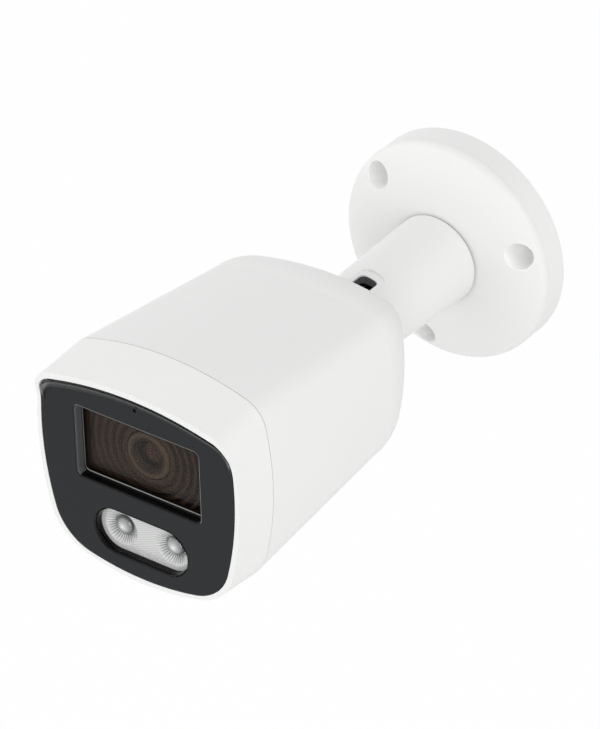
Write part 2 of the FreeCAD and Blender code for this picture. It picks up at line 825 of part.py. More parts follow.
sketch = new_sketch(gland, "front", neck_top)
draw_circle(sketch, gland_radius - 0.02, gland_x, 0)
pad(gland, sketch, spigot_depth)
sketch = new_sketch(gland, "front", neck_top + spigot_depth)
draw_circle(sketch, gland_radius + 0.25, gland_x, 0)
pad(gland, sketch, 1.2)
sketch = new_sketch(gland, "front", neck_top + spigot_depth + 1.2)
draw_circle(sketch, 1.5, gland_x, 0)
pocket(gland, sketch)

# ---------------------------------------------------------------------------------------------
# Main housing: a tapered shell that rounds over into a domed back with the knuckle's boss
# ---------------------------------------------------------------------------------------------

housing = new_body("main_housing")


def dome_section(share):
    """A section of the rounded back, part of the way from the shoulder to the flat back."""
    depth = dome_depth * share
    inset = dome_radius - (dome_radius * dome_radius - depth * depth).root()
    return (shoulder_reach - depth, rear_line.scaled(1 - inset / rear_line.half_width))


loft(housing, "AdditiveLoft", [(seam_reach, seam_line), (shoulder_reach, rear_line)], ruled=True)
loft(housing, "AdditiveLoft", [(shoulder_reach, rear_line)] + [dome_section(share) for share in (0.38, 0.72, 1)])
cavity_reach = rear_reach + 4.4
inner_rear = rear_line.inset(wall)
loft(
    housing,
    "SubtractiveLoft",
    [
        (seam_reach, seam_line.inset(wall)),
        (shoulder_reach, inner_rear),
        (cavity_reach, inner_rear.scaled(0.72)),
    ],
    ruled=True,
)
boss_radius = spigot_radius + 3.2
clip_seat = pivot_reach + clip_reach
boss = new_sketch(housing, "front", rear_reach + 1)
draw_circle(boss, boss_radius, 0, 0)
pad(housing, boss, clip_seat - rear_reach - 1 - turn_gap)
bore = new_sketch(housing, "front", clip_seat + 1)
draw_circle(bore, spigot_radius + turn_gap, 0, 0)
pocket(housing, bore)
rabbet_depth = size("rabbet_depth", 4.0)
rabbet_inset = size("rabbet_inset", 1.3)
rabbet = outline_sketch(housing, seam_reach, seam_line.inset(rabbet_inset))
pocket(housing, rabbet, rabbet_depth)
cover_screw_x = size("cover_screw_offset", 23.4)
cover_screw_top = size("cover_screw_top", 19.8)
cover_screw_low = size("cover_screw_low", -19.1)
post_length = size("cover_post_length", 9.0)
screw_places = [(cover_screw_x, cover_screw_top), (cover_screw_x - 0.8, cover_screw_low)]
posts = new_sketch(housing, "front", seam_reach - rabbet_depth)
for across, level in screw_places:
    draw_circle(posts, 3.2, across, level)
post_pads = pad(housing, posts, post_length, Reversed=True)
post_holes = new_sketch(housing, "front", seam_reach - rabbet_depth)
for across, level in screw_places:
    draw_circle(post_holes, 1.05, across, level)
post_bores = pocket(housing, post_holes, 8)
mirror(housing, [post_pads, post_bores])

# ---------------------------------------------------------------------------------------------
# Front cover: a short tapered ring that carries the black panel, with a tongue in the rabbet
# ---------------------------------------------------------------------------------------------

panel_thickness = size("panel_thickness", 5.0)
panel_gap = size("panel_gap", 0.15)
ledge_inset = size("panel_ledge_inset", 1.3)
tongue_length = size("tongue_length", 3.1)
brow_height = size("brow_height", 2.0)
brow_gap = size("brow_gap", 1.1)
brow_foot = size("brow_foot_level", 12.5)
brow_rise = size("brow_rise", 11.0)
brow_reach = face_reach + brow_height
brow_line = panel_line.inset(-panel_gap)
brow_line.top = brow_line.top + brow_gap


def trim_front(body, height, rise):
    """Cuts a front edge to the face, with a smooth step forwards to a brow along the top."""
    step = (rise * rise + height * height) / (height * 4)
    sketch = new_sketch(body, "side")
    draw_bent(
        sketch,
        [
            (-face_reach, -60),
            (-face_reach, brow_foot),
            (-face_reach - height / 2, brow_foot + rise / 2),
            (-face_reach - height, brow_foot + rise),
            (-face_reach - height, 60),
            (-face_reach - 12, 60),
            (-face_reach - 12, -60),
        ],
        {1: step, 2: -step},
    )
    return pocket(body, sketch, 100, Midplane=True)


cover = new_body("front_cover")
cover_low = seam_reach + seam_gap
loft(cover, "AdditiveLoft", [(cover_low, seam_line), (brow_reach, front_line)], ruled=True)
trim_front(cover, brow_height, brow_rise)
seat = outline_sketch(cover, brow_reach, panel_line.inset(-panel_gap))
pocket(cover, seat, panel_thickness + brow_height)
under_brow = outline_sketch(cover, brow_reach, brow_line)
pocket(cover, under_brow, brow_height + 1.2)
tongue = outline_sketch(cover, cover_low, seam_line.inset(rabbet_inset + fit_gap * 3))
pad(cover, tongue, tongue_length + seam_gap, Reversed=True)
seat = outline_sketch(cover, face_reach, panel_line.inset(-panel_gap))
pocket(cover, seat, panel_thickness)
loft(
    cover,
    "SubtractiveLoft",
    [
        (face_reach - panel_thickness, panel_line.inset(ledge_inset)),
        (cover_low, seam_line.inset(wall + 0.6)),
        (cover_low - tongue_length - seam_gap - 0.5, seam_line.inset(wall + 0.6)),
    ],
    ruled=True,
)
lug = new_sketch(cover, "front", cover_low + 1.5)
for across, level in screw_places:
    draw_circle(lug, 3.2, across, level)
lug_pads = pad(cover, lug, tongue_length + seam_gap + 1.0, Reversed=True)
lug_holes = new_sketch(cover, "front", cover_low + 4)
for across, level in screw_places:
    draw_circle(lug_holes, 1.35, across, level)
lug_bores = pocket(cover, lug_holes, 12)
mirror(cover, [lug_pads, lug_bores])

# Seal at the bottom of the rabbet
cover_seal = new_body("cover_seal")
seal_reach = seam_reach - rabbet_depth
seal_line = seam_line.inset(rabbet_inset + fit_gap * 4)
ring = outline_sketch(cover_seal, seal_reach, seal_line, seam_line.inset(wall + 0.4))
pad(cover_seal, ring, rabbet_depth - tongue_length)

# Four screws through the cover's lugs into the housing's posts
lug_face = cover_low + 1.5
both_sides = [(across * side, level) for side in (-1, 1) for across, level in screw_places]
screw_set("cover_screws", "front", lug_face, both_sides, (2.1, 1.4), (1.04, 11.5), up=True)

# ---------------------------------------------------------------------------------------------
# Front panel: a black moulding with a rounded lip, the window, the lamp recess and a pinhole
# ---------------------------------------------------------------------------------------------

window_width = size("window_width", 38.6)
window_height = size("window_height", 21.0)
window_corner = size("window_corner", 1.6)
window_level = size("window_level", 5.6)
window_recess = size("window_recess", 3.0)
glass_thickness = size("glass_thickness", 1.1)
glass_land = size("glass_land", 1.2)
lamp_width = size("lamp_recess_width", 29.0)
lamp_height = size("lamp_recess_height", 13.1)
lamp_level = size("lamp_level", -17.75)
lamp_recess = size("lamp_recess_depth", 2.4)
lamp_pitch = size("lamp_pitch", 16.0)
lip_height = size("panel_lip_height", 1.5)
lip_width = size("panel_lip_width", 1.0)
lip_drop = size("panel_lip_drop", 2.4)
pinhole_level = size("pinhole_level", 21.3)

panel = new_body("front_panel")
back_reach = face_reach - panel_thickness
plate = outline_sketch(panel, back_reach, panel_line)
pad(panel, plate, panel_thickness + lip_height)
trim_front(panel, lip_height, brow_rise - 2.0)
dish_line = panel_line.inset(lip_width)
dish_line.top = panel_line.top - lip_drop
dish_line.top_corner = panel_line.top_corner - lip_drop * 1.1
dish_mouth = panel_line.inset(lip_width * 0.1)
dish_mouth.top = panel_line.top - lip_drop * 0.1
dish_mouth.top_corner = panel_line.top_corner - lip_width
loft(panel, "SubtractiveLoft", [(face_reach, dish_line), (face_reach + lip_height + 0.1, dish_mouth)], ruled=True)
window = new_sketch(panel, "front", face_reach)
draw_rounded(window, window_width, window_height, window_corner, 0, window_level)
pocket(panel, window)
glass_seat = new_sketch(panel, "front", back_reach)
seat_w = window_width + glass_land * 2
seat_h = window_height + glass_land * 2
draw_rounded(glass_seat, seat_w, seat_h, window_corner + glass_land, 0, window_level)
pocket(panel, glass_seat, panel_thickness - window_recess, Reversed=True)
lamp_opening = new_sketch(panel, "front", face_reach)
draw_rounded(lamp_opening, lamp_width, lamp_height, lamp_height / 2 - 0.01, 0, lamp_level)
pocket(panel, lamp_opening)
optic_seat = new_sketch(panel, "front", back_reach)
optic_land = size("optic_land", 1.0)
draw_rounded(
    optic_seat,
    lamp_width + optic_land * 2,
    lamp_height + optic_land * 2,
    lamp_height / 2 + optic_land - 0.01,
    0,
    lamp_level,
)
pocket(panel, optic_seat, 1.4, Reversed=True)
pinhole = new_sketch(panel, "front", face_reach)
draw_circle(pinhole, 0.5, 0, pinhole_level)
pocket(panel, pinhole)
peg_offset = size("lamp_peg_offset", 17.4)
pegs = new_sketch(panel, "front", back_reach)
draw_circle(pegs, 1.0, -peg_offset, lamp_level)
draw_circle(pegs, 1.0, peg_offset, lamp_level)
pad(panel, pegs, 3.5, Reversed=True)

# Tinted window glass and its foam gasket
glass = new_body("window_glass")
sketch = new_sketch(glass, "front", face_reach - window_recess - glass_thickness)
draw_rounded(sketch, seat_w - fit_gap * 2, seat_h - fit_gap * 2, window_corner + glass_land - fit_gap, 0, window_level)
pad(glass, sketch, glass_thickness)
glass_back = face_reach - window_recess - glass_thickness
window_gasket = new_body("window_gasket")
sketch = new_sketch(window_gasket, "front", back_reach)
draw_rounded(sketch, seat_w - fit_gap * 2, seat_h - fit_gap * 2, window_corner + glass_land - fit_gap, 0, window_level)
draw_rounded(sketch, window_width + 0.4, window_height + 0.4, window_corner + 0.2, 0, window_level)
pad(window_gasket, sketch, panel_thickness - window_recess - glass_thickness)

# Clear optic: a pill-shaped moulding with two cups over the lamps and a flange behind
optic = new_body("lamp_optic")
flange = new_sketch(optic, "front", back_reach)
draw_rounded(
    flange,
    lamp_width + optic_land * 2 - 0.2,
    lamp_height + optic_land * 2 - 0.2,
    lamp_height / 2 + optic_land - 0.11,
    0,
    lamp_level,
)
pad(optic, flange, 1.4)
pill = new_sketch(optic, "front", back_reach)
draw_rounded(pill, lamp_width - 0.2, lamp_height - 0.2, lamp_height / 2 - 0.11, 0, lamp_level)
pad(optic, pill, panel_thickness - lamp_recess)
cup_radius = size("cup_radius", 5.0)
cup_depth = size("cup_depth", 1.7)
cup_top = face_reach - lamp_recess
for side in (-1, 1):
    mouth = new_sketch(optic, "front", cup_top)
    draw_circle(mouth, cup_radius, lamp_pitch / 2 * side, lamp_level)
    pocket(optic, mouth, cup_depth, TaperAngle=-50.0)
bead_radius = size("bead_radius", 2.2)
bead_height = size("bead_height", 1.0)
for side in (-1, 1):
    bead = new_sketch(optic, "front", cup_top - cup_depth - 0.1)
    draw_circle(bead, bead_radius, lamp_pitch / 2 * side, lamp_level)
    pad(optic, bead, bead_height, TaperAngle=-8.0)

# Foam ring that presses the optic's flange into its seat
optic_gasket = new_body("optic_gasket")
sketch = new_sketch(optic_gasket, "front", back_reach)
draw_rounded(sketch, lamp_width + 1.6, lamp_height + 1.6, lamp_height / 2 + 0.79, 0, lamp_level)
draw_rounded(sketch, lamp_width - 1.4, lamp_height - 1.4, lamp_height / 2 - 0.71, 0, lamp_level)
pad(optic_gasket, sketch, 1.6, Reversed=True)

# Lamp board with its two lamps
lamp_board_reach = back_reach - 3.0
lamp_board = new_body("lamp_board")
sketch = new_sketch(lamp_board, "front", lamp_board_reach)
draw_rounded(sketch, (peg_offset + 1.9) * 2, 13, 2.0, 0, lamp_level)
pad(lamp_board, sketch, 1.2)
for side in (-1, 1):
    hole = new_sketch(lamp_board, "front", lamp_board_reach + 1.2)
    draw_circle(hole, 1.1, peg_offset * side, lamp_level)
    pocket(lamp_board, hole)
lamps = new_body("lamps")
sketch = new_sketch(lamps, "front", lamp_board_reach + 1.2)
draw_rounded(sketch, 3.5, 3.5, 0.3, lamp_pitch / 2, lamp_level)
lamp_case = pad(lamps, sketch, 0.8)
sketch = new_sketch(lamps, "front", lamp_board_reach + 2.0)
draw_circle(sketch, 1.4, lamp_pitch / 2, lamp_level)
lamp_dome = pad(lamps, sketch, 0.7, TaperAngle=-25.0)
mirror(lamps, [lamp_case, lamp_dome])

# Microphone behind the pinhole, and its waterproof membrane
membrane = new_body("microphone_membrane")
sketch = new_sketch(membrane, "front", back_reach)
draw_circle(sketch, 1.3, 0, pinhole_level - 0.4)
pad(membrane, sketch, 0.25, Reversed=True)
microphone = new_body("microphone")
sketch = new_sketch(microphone, "front", back_reach - 0.25)
draw_rounded(sketch, 3.8, 3.0, 0.3, 0, pinhole_level - 0.6)
pad(microphone, sketch, 1.1, Reversed=True)

# Light trap behind the window: a black plate with ridges turned about the lens axis
trap_thickness = size("trap_thickness", 2.6)
trap_ring = size("trap_lens_opening", 6.9)
trap = new_body("light_trap", 0, 0, window_level)
sketch = new_sketch(trap, "front", back_reach)
draw_rounded(sketch, seat_w + 1.6, seat_h + 1.0, 3.5, 0, 0)
pad(trap, sketch, trap_thickness, Reversed=True)
for step in range(5):
    low = trap_ring + 1.3 + 2.25 * step
    turn(
        trap,
        [
            (back_reach - 1.5, low),
            (back_reach - 1.5, low + 1.0),
            (back_reach + 1, low + 1.65),
            (back_reach + 1, low),
        ],
        "Groove",
    )
lens_opening = new_sketch(trap, "front", back_reach)
draw_circle(lens_opening, trap_ring, 0, 0)
pocket(trap, lens_opening)

# ---------------------------------------------------------------------------------------------
# Lens, its lock ring, holder, infrared filter and image sensor
# ---------------------------------------------------------------------------------------------

lens_front = size("lens_front_gap", 0.45)
lens_head_radius = size("lens_head_radius", 6.5)
lens_head_length = size("lens_head_length", 3.2)
lens_thread_radius = size("lens_thread_radius", 6.0)
lens_length = size("lens_length", 16.0)
lens_top = glass_back - lens_front
lens_bottom = lens_top - lens_length
barrel = new_body("lens_barrel", 0, 0, window_level)
turn(
    barrel,
    [
        (lens_top, 4.6),
        (lens_top, lens_head_radius - 0.3),
        (lens_top - 0.3, lens_head_radius),
        (lens_top - lens_head_length, lens_head_radius),
        (lens_top - lens_head_length, lens_thread_radius),
        (lens_bottom, lens_thread_radius),
        (lens_bottom, 3.4),
        (lens_bottom + 3.0, 3.4),
        (lens_bottom + 3.0, 4.1),
        (lens_top - 2.6, 4.1),
        (lens_top - 2.6, 3.6),
        (lens_top - 1.2, 3.6),
    ],
)
front_glass = new_body("lens_front_glass", 0, 0, window_level)
turn(
    front_glass,
    [
        (lens_top - 4.0, 0),
        (lens_top - 4.0, 4.05),
        (lens_top - 2.65, 4.05),
        (lens_top - 2.65, 3.5),
        (lens_top - 2.1, 3.2),
        (lens_top - 1.75, 2.6),
        (lens_top - 1.5, 1.5),
        (lens_top - 1.4, 0),
    ],
)
rear_glass = new_body("lens_rear_glass", 0, 0, window_level)
turn(
    rear_glass,
    [(lens_bottom + 0.5, 0), (lens_bottom + 0.8, 2.2), (lens_bottom + 1.2, 3.35), (lens_bottom + 2.6, 3.35), (lens_bottom + 2.6, 0)],
)
lock_ring = new_body("lens_lock_ring", 0, 0, window_level)
holder_top = lens_bottom + 8.0
turn(
    lock_ring,
    [
        (holder_top, lens_thread_radius + 0.03),
        (holder_top, lens_thread_radius + 1.6),
        (holder_top + 1.6, lens_thread_radius + 1.6),
        (holder_top + 1.6, lens_thread_radius + 0.03),
    ],
)
notch = new_sketch(lock_ring, "front", holder_top + 1.6)
draw_rectangle(notch, 1.6, 1.4, 0, lens_thread_radius + 1.5)
ring_pattern(lock_ring, [pocket(lock_ring, notch)], 4)

filter_zone = size("filter_zone", 4.0)
holder_side = size("holder_side", 17.0)
holder_low = lens_bottom - filter_zone
holder = new_body("lens_holder", 0, 0, window_level)
sketch = new_sketch(holder, "front", holder_low)
draw_rounded(sketch, holder_side + 9, holder_side - 1, 1.5, 0, 0)
pad(holder, sketch, filter_zone)
sketch = new_sketch(holder, "front", lens_bottom)
draw_circle(sketch, lens_thread_radius + 2.2, 0, 0)
pad(holder, sketch, holder_top - lens_bottom)
bore = new_sketch(holder, "front", holder_top)
draw_circle(bore, lens_thread_radius + 0.03, 0, 0)
pocket(holder, bore, holder_top - lens_bottom)
throat = new_sketch(holder, "front", lens_bottom)
draw_circle(throat, 4.2, 0, 0)
pocket(holder, throat)
channel = new_sketch(holder, "front", holder_low)
draw_rectangle(channel, 23.4, 10.0, 0, 0)
pocket(holder, channel, filter_zone - 1.0, Reversed=True)
sensor_board_top = holder_low
holder_screw_x = size("holder_screw_offset", 10.5)
holder_screw_z = size("holder_screw_level", 6.6)
holder_places = [(-holder_screw_x, holder_screw_z), (holder_screw_x, -holder_screw_z)]
bores = new_sketch(holder, "front", holder_low)
for across, level in holder_places:
    draw_circle(bores, 0.68, across, level)
pocket(holder, bores, 3.4, Reversed=True)
sensor_board_thickness = size("sensor_board_thickness", 1.2)

carriage = new_body("filter_carriage", 0, 0, window_level)
carriage_low = holder_low + 1.5
filter_travel = size("filter_travel", 7.0)
sketch = new_sketch(carriage, "front", carriage_low)
draw_rounded(sketch, 15.6, 9.6, 0.8, filter_travel / 2, 0)
pad(carriage, sketch, 1.3)
windows = new_sketch(carriage, "front", carriage_low + 1.3)
draw_rectangle(windows, 5.6, 6.6, 0, 0)
draw_rectangle(windows, 5.6, 6.6, filter_travel, 0)
pocket(carriage, windows)
blocking_filter = new_body("blocking_filter", 0, 0, window_level)
sketch = new_sketch(blocking_filter, "front", carriage_low + 0.5)
draw_rectangle(sketch, 5.56, 6.56, 0, 0)
pad(blocking_filter, sketch, 0.4)
clear_filter = new_body("clear_filter", 0, 0, window_level)
sketch = new_sketch(clear_filter, "front", carriage_low + 0.5)
draw_rectangle(sketch, 5.56, 6.56, filter_travel, 0)
pad(clear_filter, sketch, 0.4)

# Coil that throws the carriage, on top of the holder, with its magnet on a core
filter_coil = new_body("filter_coil", 0, 0, window_level)
coil_level = (holder_side - 1) / 2
sketch = new_sketch(filter_coil, "front", holder_low + 0.4)
draw_rectangle(sketch, 11.0, 3.2, 0, coil_level + 1.6)
pad(filter_coil, sketch, 3.2)
winding_radius = size("coil_winding_radius", 2.1)
winding = new_sketch(filter_coil, "side", 0)
draw_circle(winding, winding_radius, -holder_low - winding_radius - 0.2, coil_level + winding_radius)
pad(filter_coil, winding, 6.0, Midplane=True)

image_sensor = new_body("image_sensor", 0, 0, window_level)
sketch = new_sketch(image_sensor, "front", sensor_board_top)
draw_rectangle(sketch, 7.6, 6.4, 0, 0)
pad(image_sensor, sketch, 0.9)
sensor_board = new_body("sensor_board", 0, 0, window_level)
sketch = new_sketch(sensor_board, "front", sensor_board_top)
draw_rounded(sketch, 36, 28, 2.0, 0, 0)
pad(sensor_board, sketch, sensor_board_thickness, Reversed=True)
bores = new_sketch(sensor_board, "front", sensor_board_top)
for across, level in holder_places:
    draw_circle(bores, 0.85, across, level)
pocket(sensor_board, bores)
sensor_glass = new_body("sensor_glass", 0, 0, window_level)
sketch = new_sketch(sensor_glass, "front", sensor_board_top + 0.9)
draw_rectangle(sketch, 6.8, 5.6, 0, 0)
pad(sensor_glass, sketch, 0.4)
holder_back = sensor_board_top - sensor_board_thickness
screw_set("holder_screws", "front", holder_back, holder_places, (1.4, 0.9), (0.66, 4.2), z=window_level)

# ---------------------------------------------------------------------------------------------
# Main board, chips and the chassis that carries them
# ---------------------------------------------------------------------------------------------

board_level = size("main_board_level", -12.0)
upright_thickness = size("chassis_upright_thickness", 1.6)
upright_width = size("chassis_upright_width", 30.0)
upright_height = size("chassis_upright_height", 30.0)
board_length = size("main_board_length", 40.0)
upright_front = holder_back - size("chassis_to_holder_gap", 1.35)
board_front = upright_front - upright_thickness - 0.3
board_back = board_front - board_length
board_width = size("main_board_width", 38.0)
board_thickness = size("main_board_thickness", 1.6)
board_middle = board_back + board_length / 2
main_board = new_body("main_board", 0, board_middle, board_level)
sketch = new_sketch(main_board, "plan", 0)
draw_rounded(sketch, board_width, board_length, 2.0, 0, 0)
pad(main_board, sketch, board_thickness)
hole_x = board_width / 2 - 3.0
hole_y = board_length / 2 - 3.0
mount_holes = new_sketch(main_board, "plan", board_thickness)
for side in (-1, 1):
    for end in (-1, 1):
        draw_circle(mount_holes, 1.2, hole_x * side, hole_y * end)
pocket(main_board, mount_holes)

chips = new_body("chips", 0, board_middle, board_level)
sketch = new_sketch(chips, "plan", board_thickness)
draw_rectangle(sketch, 13, 13, 0, 2)
draw_rectangle(sketch, 8, 11, 12.5, 2)
draw_rectangle(sketch, 6, 5, -12, -8)
pad(chips, sketch, 1.1)

connectors = new_body("connectors", 0, board_middle, board_level)
sketch = new_sketch(connectors, "plan", board_thickness)
draw_rectangle(sketch, 12, 4.4, 0, board_length / 2 - 3.8)
draw_rectangle(sketch, 16, 4.2, 0, 3.6 - board_length / 2)
pad(connectors, sketch, 4.2)

card_socket = new_body("card_socket", 0, board_middle, board_level)
sketch = new_sketch(card_socket, "plan", board_thickness)
draw_rounded(sketch, 11.0, 13.0, 0.4, -12.6, 5.5)
pad(card_socket, sketch, 1.9)
mouth = new_sketch(card_socket, "plan", board_thickness + 0.4)
draw_rectangle(mouth, 9.6, 12.0, -12.6, 6.5)
pocket(card_socket, mouth, 1.0, Reversed=True)

# Reset switch on the board, with the button that goes down into it
switch_x = size("reset_switch_offset", 12.5)
switch_y = size("reset_switch_reach", -9.0)
button_travel = size("reset_button_travel", 0.25)
reset_switch = new_body("reset_switch", 0, board_middle, board_level)
sketch = new_sketch(reset_switch, "plan", board_thickness)
draw_rounded(sketch, 4.0, 4.0, 0.4, switch_x, switch_y)
pad(reset_switch, sketch, 1.6)
well = new_sketch(reset_switch, "plan", board_thickness + 1.6)
draw_circle(well, 1.0, switch_x, switch_y)
pocket(reset_switch, well, 0.9)
reset_button = new_body("reset_button", 0, board_middle, board_level)
sketch = new_sketch(reset_button, "plan", board_thickness + 0.7 + button_travel + 0.05)
draw_circle(sketch, 0.95, switch_x, switch_y)
pad(reset_button, sketch, 1.6)

board_places = [(hole_x * side, hole_y * end) for side in (-1, 1) for end in (-1, 1)]
board_screws = screw_set(
    "board_screws", "plan", board_thickness, board_places, (1.9, 1.2), (0.93, 4.6), up=True, reach=board_middle, z=board_level
)

chassis = new_body("chassis", 0, board_middle, board_level)
chassis_gap = size("board_standoff_height", 4.0)
sketch = new_sketch(chassis, "plan", -chassis_gap - 1.4)
draw_rounded(sketch, board_width + 1, board_length + 4, 3.0, 0, 0)
pad(chassis, sketch, 1.4)
upright = new_sketch(chassis, "plan", -chassis_gap)
draw_rectangle(upright, upright_width, upright_thickness, 0, -(board_length / 2 + 0.3 + upright_thickness / 2))
pad(chassis, upright, upright_height)
standoffs = new_sketch(chassis, "plan", -chassis_gap)
for side in (-1, 1):
    for end in (-1, 1):
        draw_circle(standoffs, 2.6, hole_x * side, hole_y * end)
pad(chassis, standoffs, chassis_gap)
standoff_bores = new_sketch(chassis, "plan", 0)
for side in (-1, 1):
    for end in (-1, 1):
        draw_circle(standoff_bores, 0.95, hole_x * side, hole_y * end)
pocket(chassis, standoff_bores, chassis_gap - 0.4)

# ---------------------------------------------------------------------------------------------
# Checks and export
# ---------------------------------------------------------------------------------------------

doc.recompute()
for item in doc.Objects:
    if "Invalid" in item.State or "Error" in item.State:
        raise RuntimeError(f"{item.Label} failed: {item.State}")
for node in nodes:
    if node.Shape.isNull() or not node.Shape.isValid():
        raise RuntimeError(f"{node.Label} has no valid shape")
for node in nodes:
    node.Shape.exportStep(f"parts/{node.Label}.step")
    print(f"{node.Label:22s} solids {len(node.Shape.Solids)}  volume {node.Shape.Volume:9.1f}")
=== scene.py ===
import math

import bpy
from mathutils import Matrix, Vector


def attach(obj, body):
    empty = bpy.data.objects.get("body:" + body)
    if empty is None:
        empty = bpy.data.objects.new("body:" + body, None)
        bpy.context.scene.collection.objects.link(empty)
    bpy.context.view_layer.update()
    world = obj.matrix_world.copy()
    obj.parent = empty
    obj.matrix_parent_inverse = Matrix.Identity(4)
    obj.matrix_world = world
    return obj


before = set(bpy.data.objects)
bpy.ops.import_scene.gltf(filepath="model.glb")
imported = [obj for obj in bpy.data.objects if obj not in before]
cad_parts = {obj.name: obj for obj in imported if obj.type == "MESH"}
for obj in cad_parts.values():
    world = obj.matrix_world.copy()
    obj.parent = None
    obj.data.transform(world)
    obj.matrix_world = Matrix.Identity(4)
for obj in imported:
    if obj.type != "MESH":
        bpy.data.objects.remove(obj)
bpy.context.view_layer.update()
mm = 0.001

# The studio. The viewer stands in front of the object, to its right and above it, far off with a
# long lens. A pale floor, clear from below, lies well under the object and soft panels light it.


def calc(tree, operation, *values):
    """A Math node fed with sockets or plain numbers."""
    node = tree.nodes.new("ShaderNodeMath")
    node.operation = operation
    for slot, value in zip(node.inputs, values):
        if isinstance(value, (int, float)):
            slot.default_value = value
        else:
            tree.links.new(value, slot)
    return node.outputs[0]


def keep_white(tree, shader, white, share, output):
    """The viewer, gloss and glass see plain white in place of a share of a shader."""
    rays = tree.nodes.new("ShaderNodeLightPath").outputs
    seen = calc(tree, "MAXIMUM", rays["Is Camera Ray"], rays["Is Glossy Ray"])
    seen = calc(tree, "MAXIMUM", seen, rays["Is Transmission Ray"])
    mix = tree.nodes.new("ShaderNodeMixShader")
    tree.links.new(calc(tree, "MULTIPLY", seen, share), mix.inputs[0])
    tree.links.new(shader.outputs[0], mix.inputs[1])
    tree.links.new(white.outputs[0], mix.inputs[2])
    tree.links.new(mix.outputs[0], tree.nodes[output].inputs["Surface"])


aim = Vector((-2.34, -70.0, -3.65)) * mm
distance = 1279.4 * mm
to_the_right, above, roll = (math.radians(angle) for angle in (37.532, 33.072, -1.745))
turned = Matrix.Rotation(to_the_right, 4, "Z") @ Matrix.Rotation(math.pi / 2 - above, 4, "X")
bpy.ops.object.select_all(action="DESELECT")
bpy.ops.object.camera_add(location=aim)
viewer = bpy.context.object
viewer.name = "viewer"
viewer.matrix_world = (
    Matrix.Translation(aim) @ turned @ Matrix.Translation((0, 0, distance)) @ Matrix.Rotation(roll, 4, "Z")
)
viewer.data.sensor_fit = "VERTICAL"
viewer.data.sensor_height = 36
viewer.data.lens = 247.55
viewer.data.clip_start = 0.05
viewer.data.clip_end = 20
bpy.context.scene.camera = viewer

bpy.ops.mesh.primitive_plane_add(size=8, location=(0, 0, -0.16))
floor = bpy.context.object
floor.name = "studio_floor"
floor_paint = bpy.data.materials.new("studio_floor_paint")
floor_paint.use_nodes = True
floor_tree = floor_paint.node_tree
floor_shader = floor_tree.nodes["Principled BSDF"]
floor_shader.inputs["Base Color"].default_value = (0.8, 0.8, 0.8, 1)
floor_shader.inputs["Roughness"].default_value = 0.9
floor_shader.inputs["Specular IOR Level"].default_value = 0.0
floor_white = floor_tree.nodes.new("ShaderNodeEmission")
floor_white.inputs["Color"].default_value = (1, 1, 1, 1)
floor_white.inputs["Strength"].default_value = 1.0
keep_white(floor_tree, floor_shader, floor_white, 0.97, "Material Output")
floor_end = floor_tree.nodes["Material Output"].inputs["Surface"]
underside = floor_tree.nodes.new("ShaderNodeNewGeometry").outputs["Backfacing"]
clear = floor_tree.nodes.new("ShaderNodeBsdfTransparent").outputs[0]
from_below = floor_tree.nodes.new("ShaderNodeMixShader")
floor_tree.links.new(underside, from_below.inputs[0])
floor_tree.links.new(floor_end.links[0].from_socket, from_below.inputs[1])
floor_tree.links.new(clear, from_below.inputs[2])
floor_tree.links.new(from_below.outputs[0], floor_end)
floor.data.materials.append(floor_paint)

sky = bpy.data.worlds.new("studio_room")
sky.use_nodes = True
bpy.context.scene.world = sky
room = sky.node_tree.nodes["Background"]
room.inputs["Color"].default_value = (1, 1, 1, 1)
room.inputs["Strength"].default_value = 0.725
white_room = sky.node_tree.nodes.new("ShaderNodeBackground")
white_room.inputs["Color"].default_value = (1, 1, 1, 1)
white_room.inputs["Strength"].default_value = 1.0
keep_white(sky.node_tree, room, white_room, 1.0, "World Output")

object_middle = Vector((0, -70 * mm, 0))


def soft_panel(name, place, width, height, power):
    """A flat soft lamp that faces the object and isn't seen through glass."""
    bpy.ops.object.light_add(type="AREA", location=place)
    lamp = bpy.context.object
    lamp.name = name
    lamp.data.shape = "RECTANGLE"
    lamp.data.size = width
    lamp.data.size_y = height
    lamp.data.energy = power
    lamp.visible_transmission = False
    towards = object_middle - Vector(place)
    lamp.rotation_euler = towards.to_track_quat("-Z", "Y").to_euler()


soft_panel("front_panel_light", (-0.5, -1.5, 0.3), 1.4, 1.2, 2.3)
soft_panel("right_panel_light", (1.4, -0.3, 0.4), 1.0, 1.2, 0.85)
soft_panel("left_panel_light", (-1.3, -0.3, 0.5), 1.2, 1.2, 7.0)
soft_panel("near_panel_light", (1.0, -1.2, 0.2), 1.0, 1.2, 9.2)
soft_panel("small_bright_light", (1.07, -0.03, 1.0), 0.25, 0.25, 2.2)

bpy.context.scene.view_settings.view_transform = "Standard"

# Wall base and its foam. Injection-moulded white plastic with a fine satin skin: broad soft
# highlights, a faint orange-peel relief and barely uneven gloss. The gasket behind it is
# closed-cell foam with fine pores.

SOCKETS = {float: "NodeSocketFloat", tuple: "NodeSocketColor", list: "NodeSocketVector"}


def new_group(name, inputs, *masks):
    """An empty shared effect: inputs with usual values, a colour, a gloss, a relief and any masks out."""
    group = bpy.data.node_groups.new(name, "ShaderNodeTree")
    for title, value in inputs.items():
        made = group.interface.new_socket(title, in_out="INPUT", socket_type=SOCKETS[type(value)])
        made.default_value = (*value, 1) if isinstance(value, tuple) else value
    group.interface.new_socket("Color", in_out="OUTPUT", socket_type="NodeSocketColor")
    for title in ("Roughness", "Height", *masks):
        group.interface.new_socket(title, in_out="OUTPUT", socket_type="NodeSocketFloat")
    return group, group.nodes.new("NodeGroupInput").outputs, group.nodes.new("NodeGroupOutput").inputs


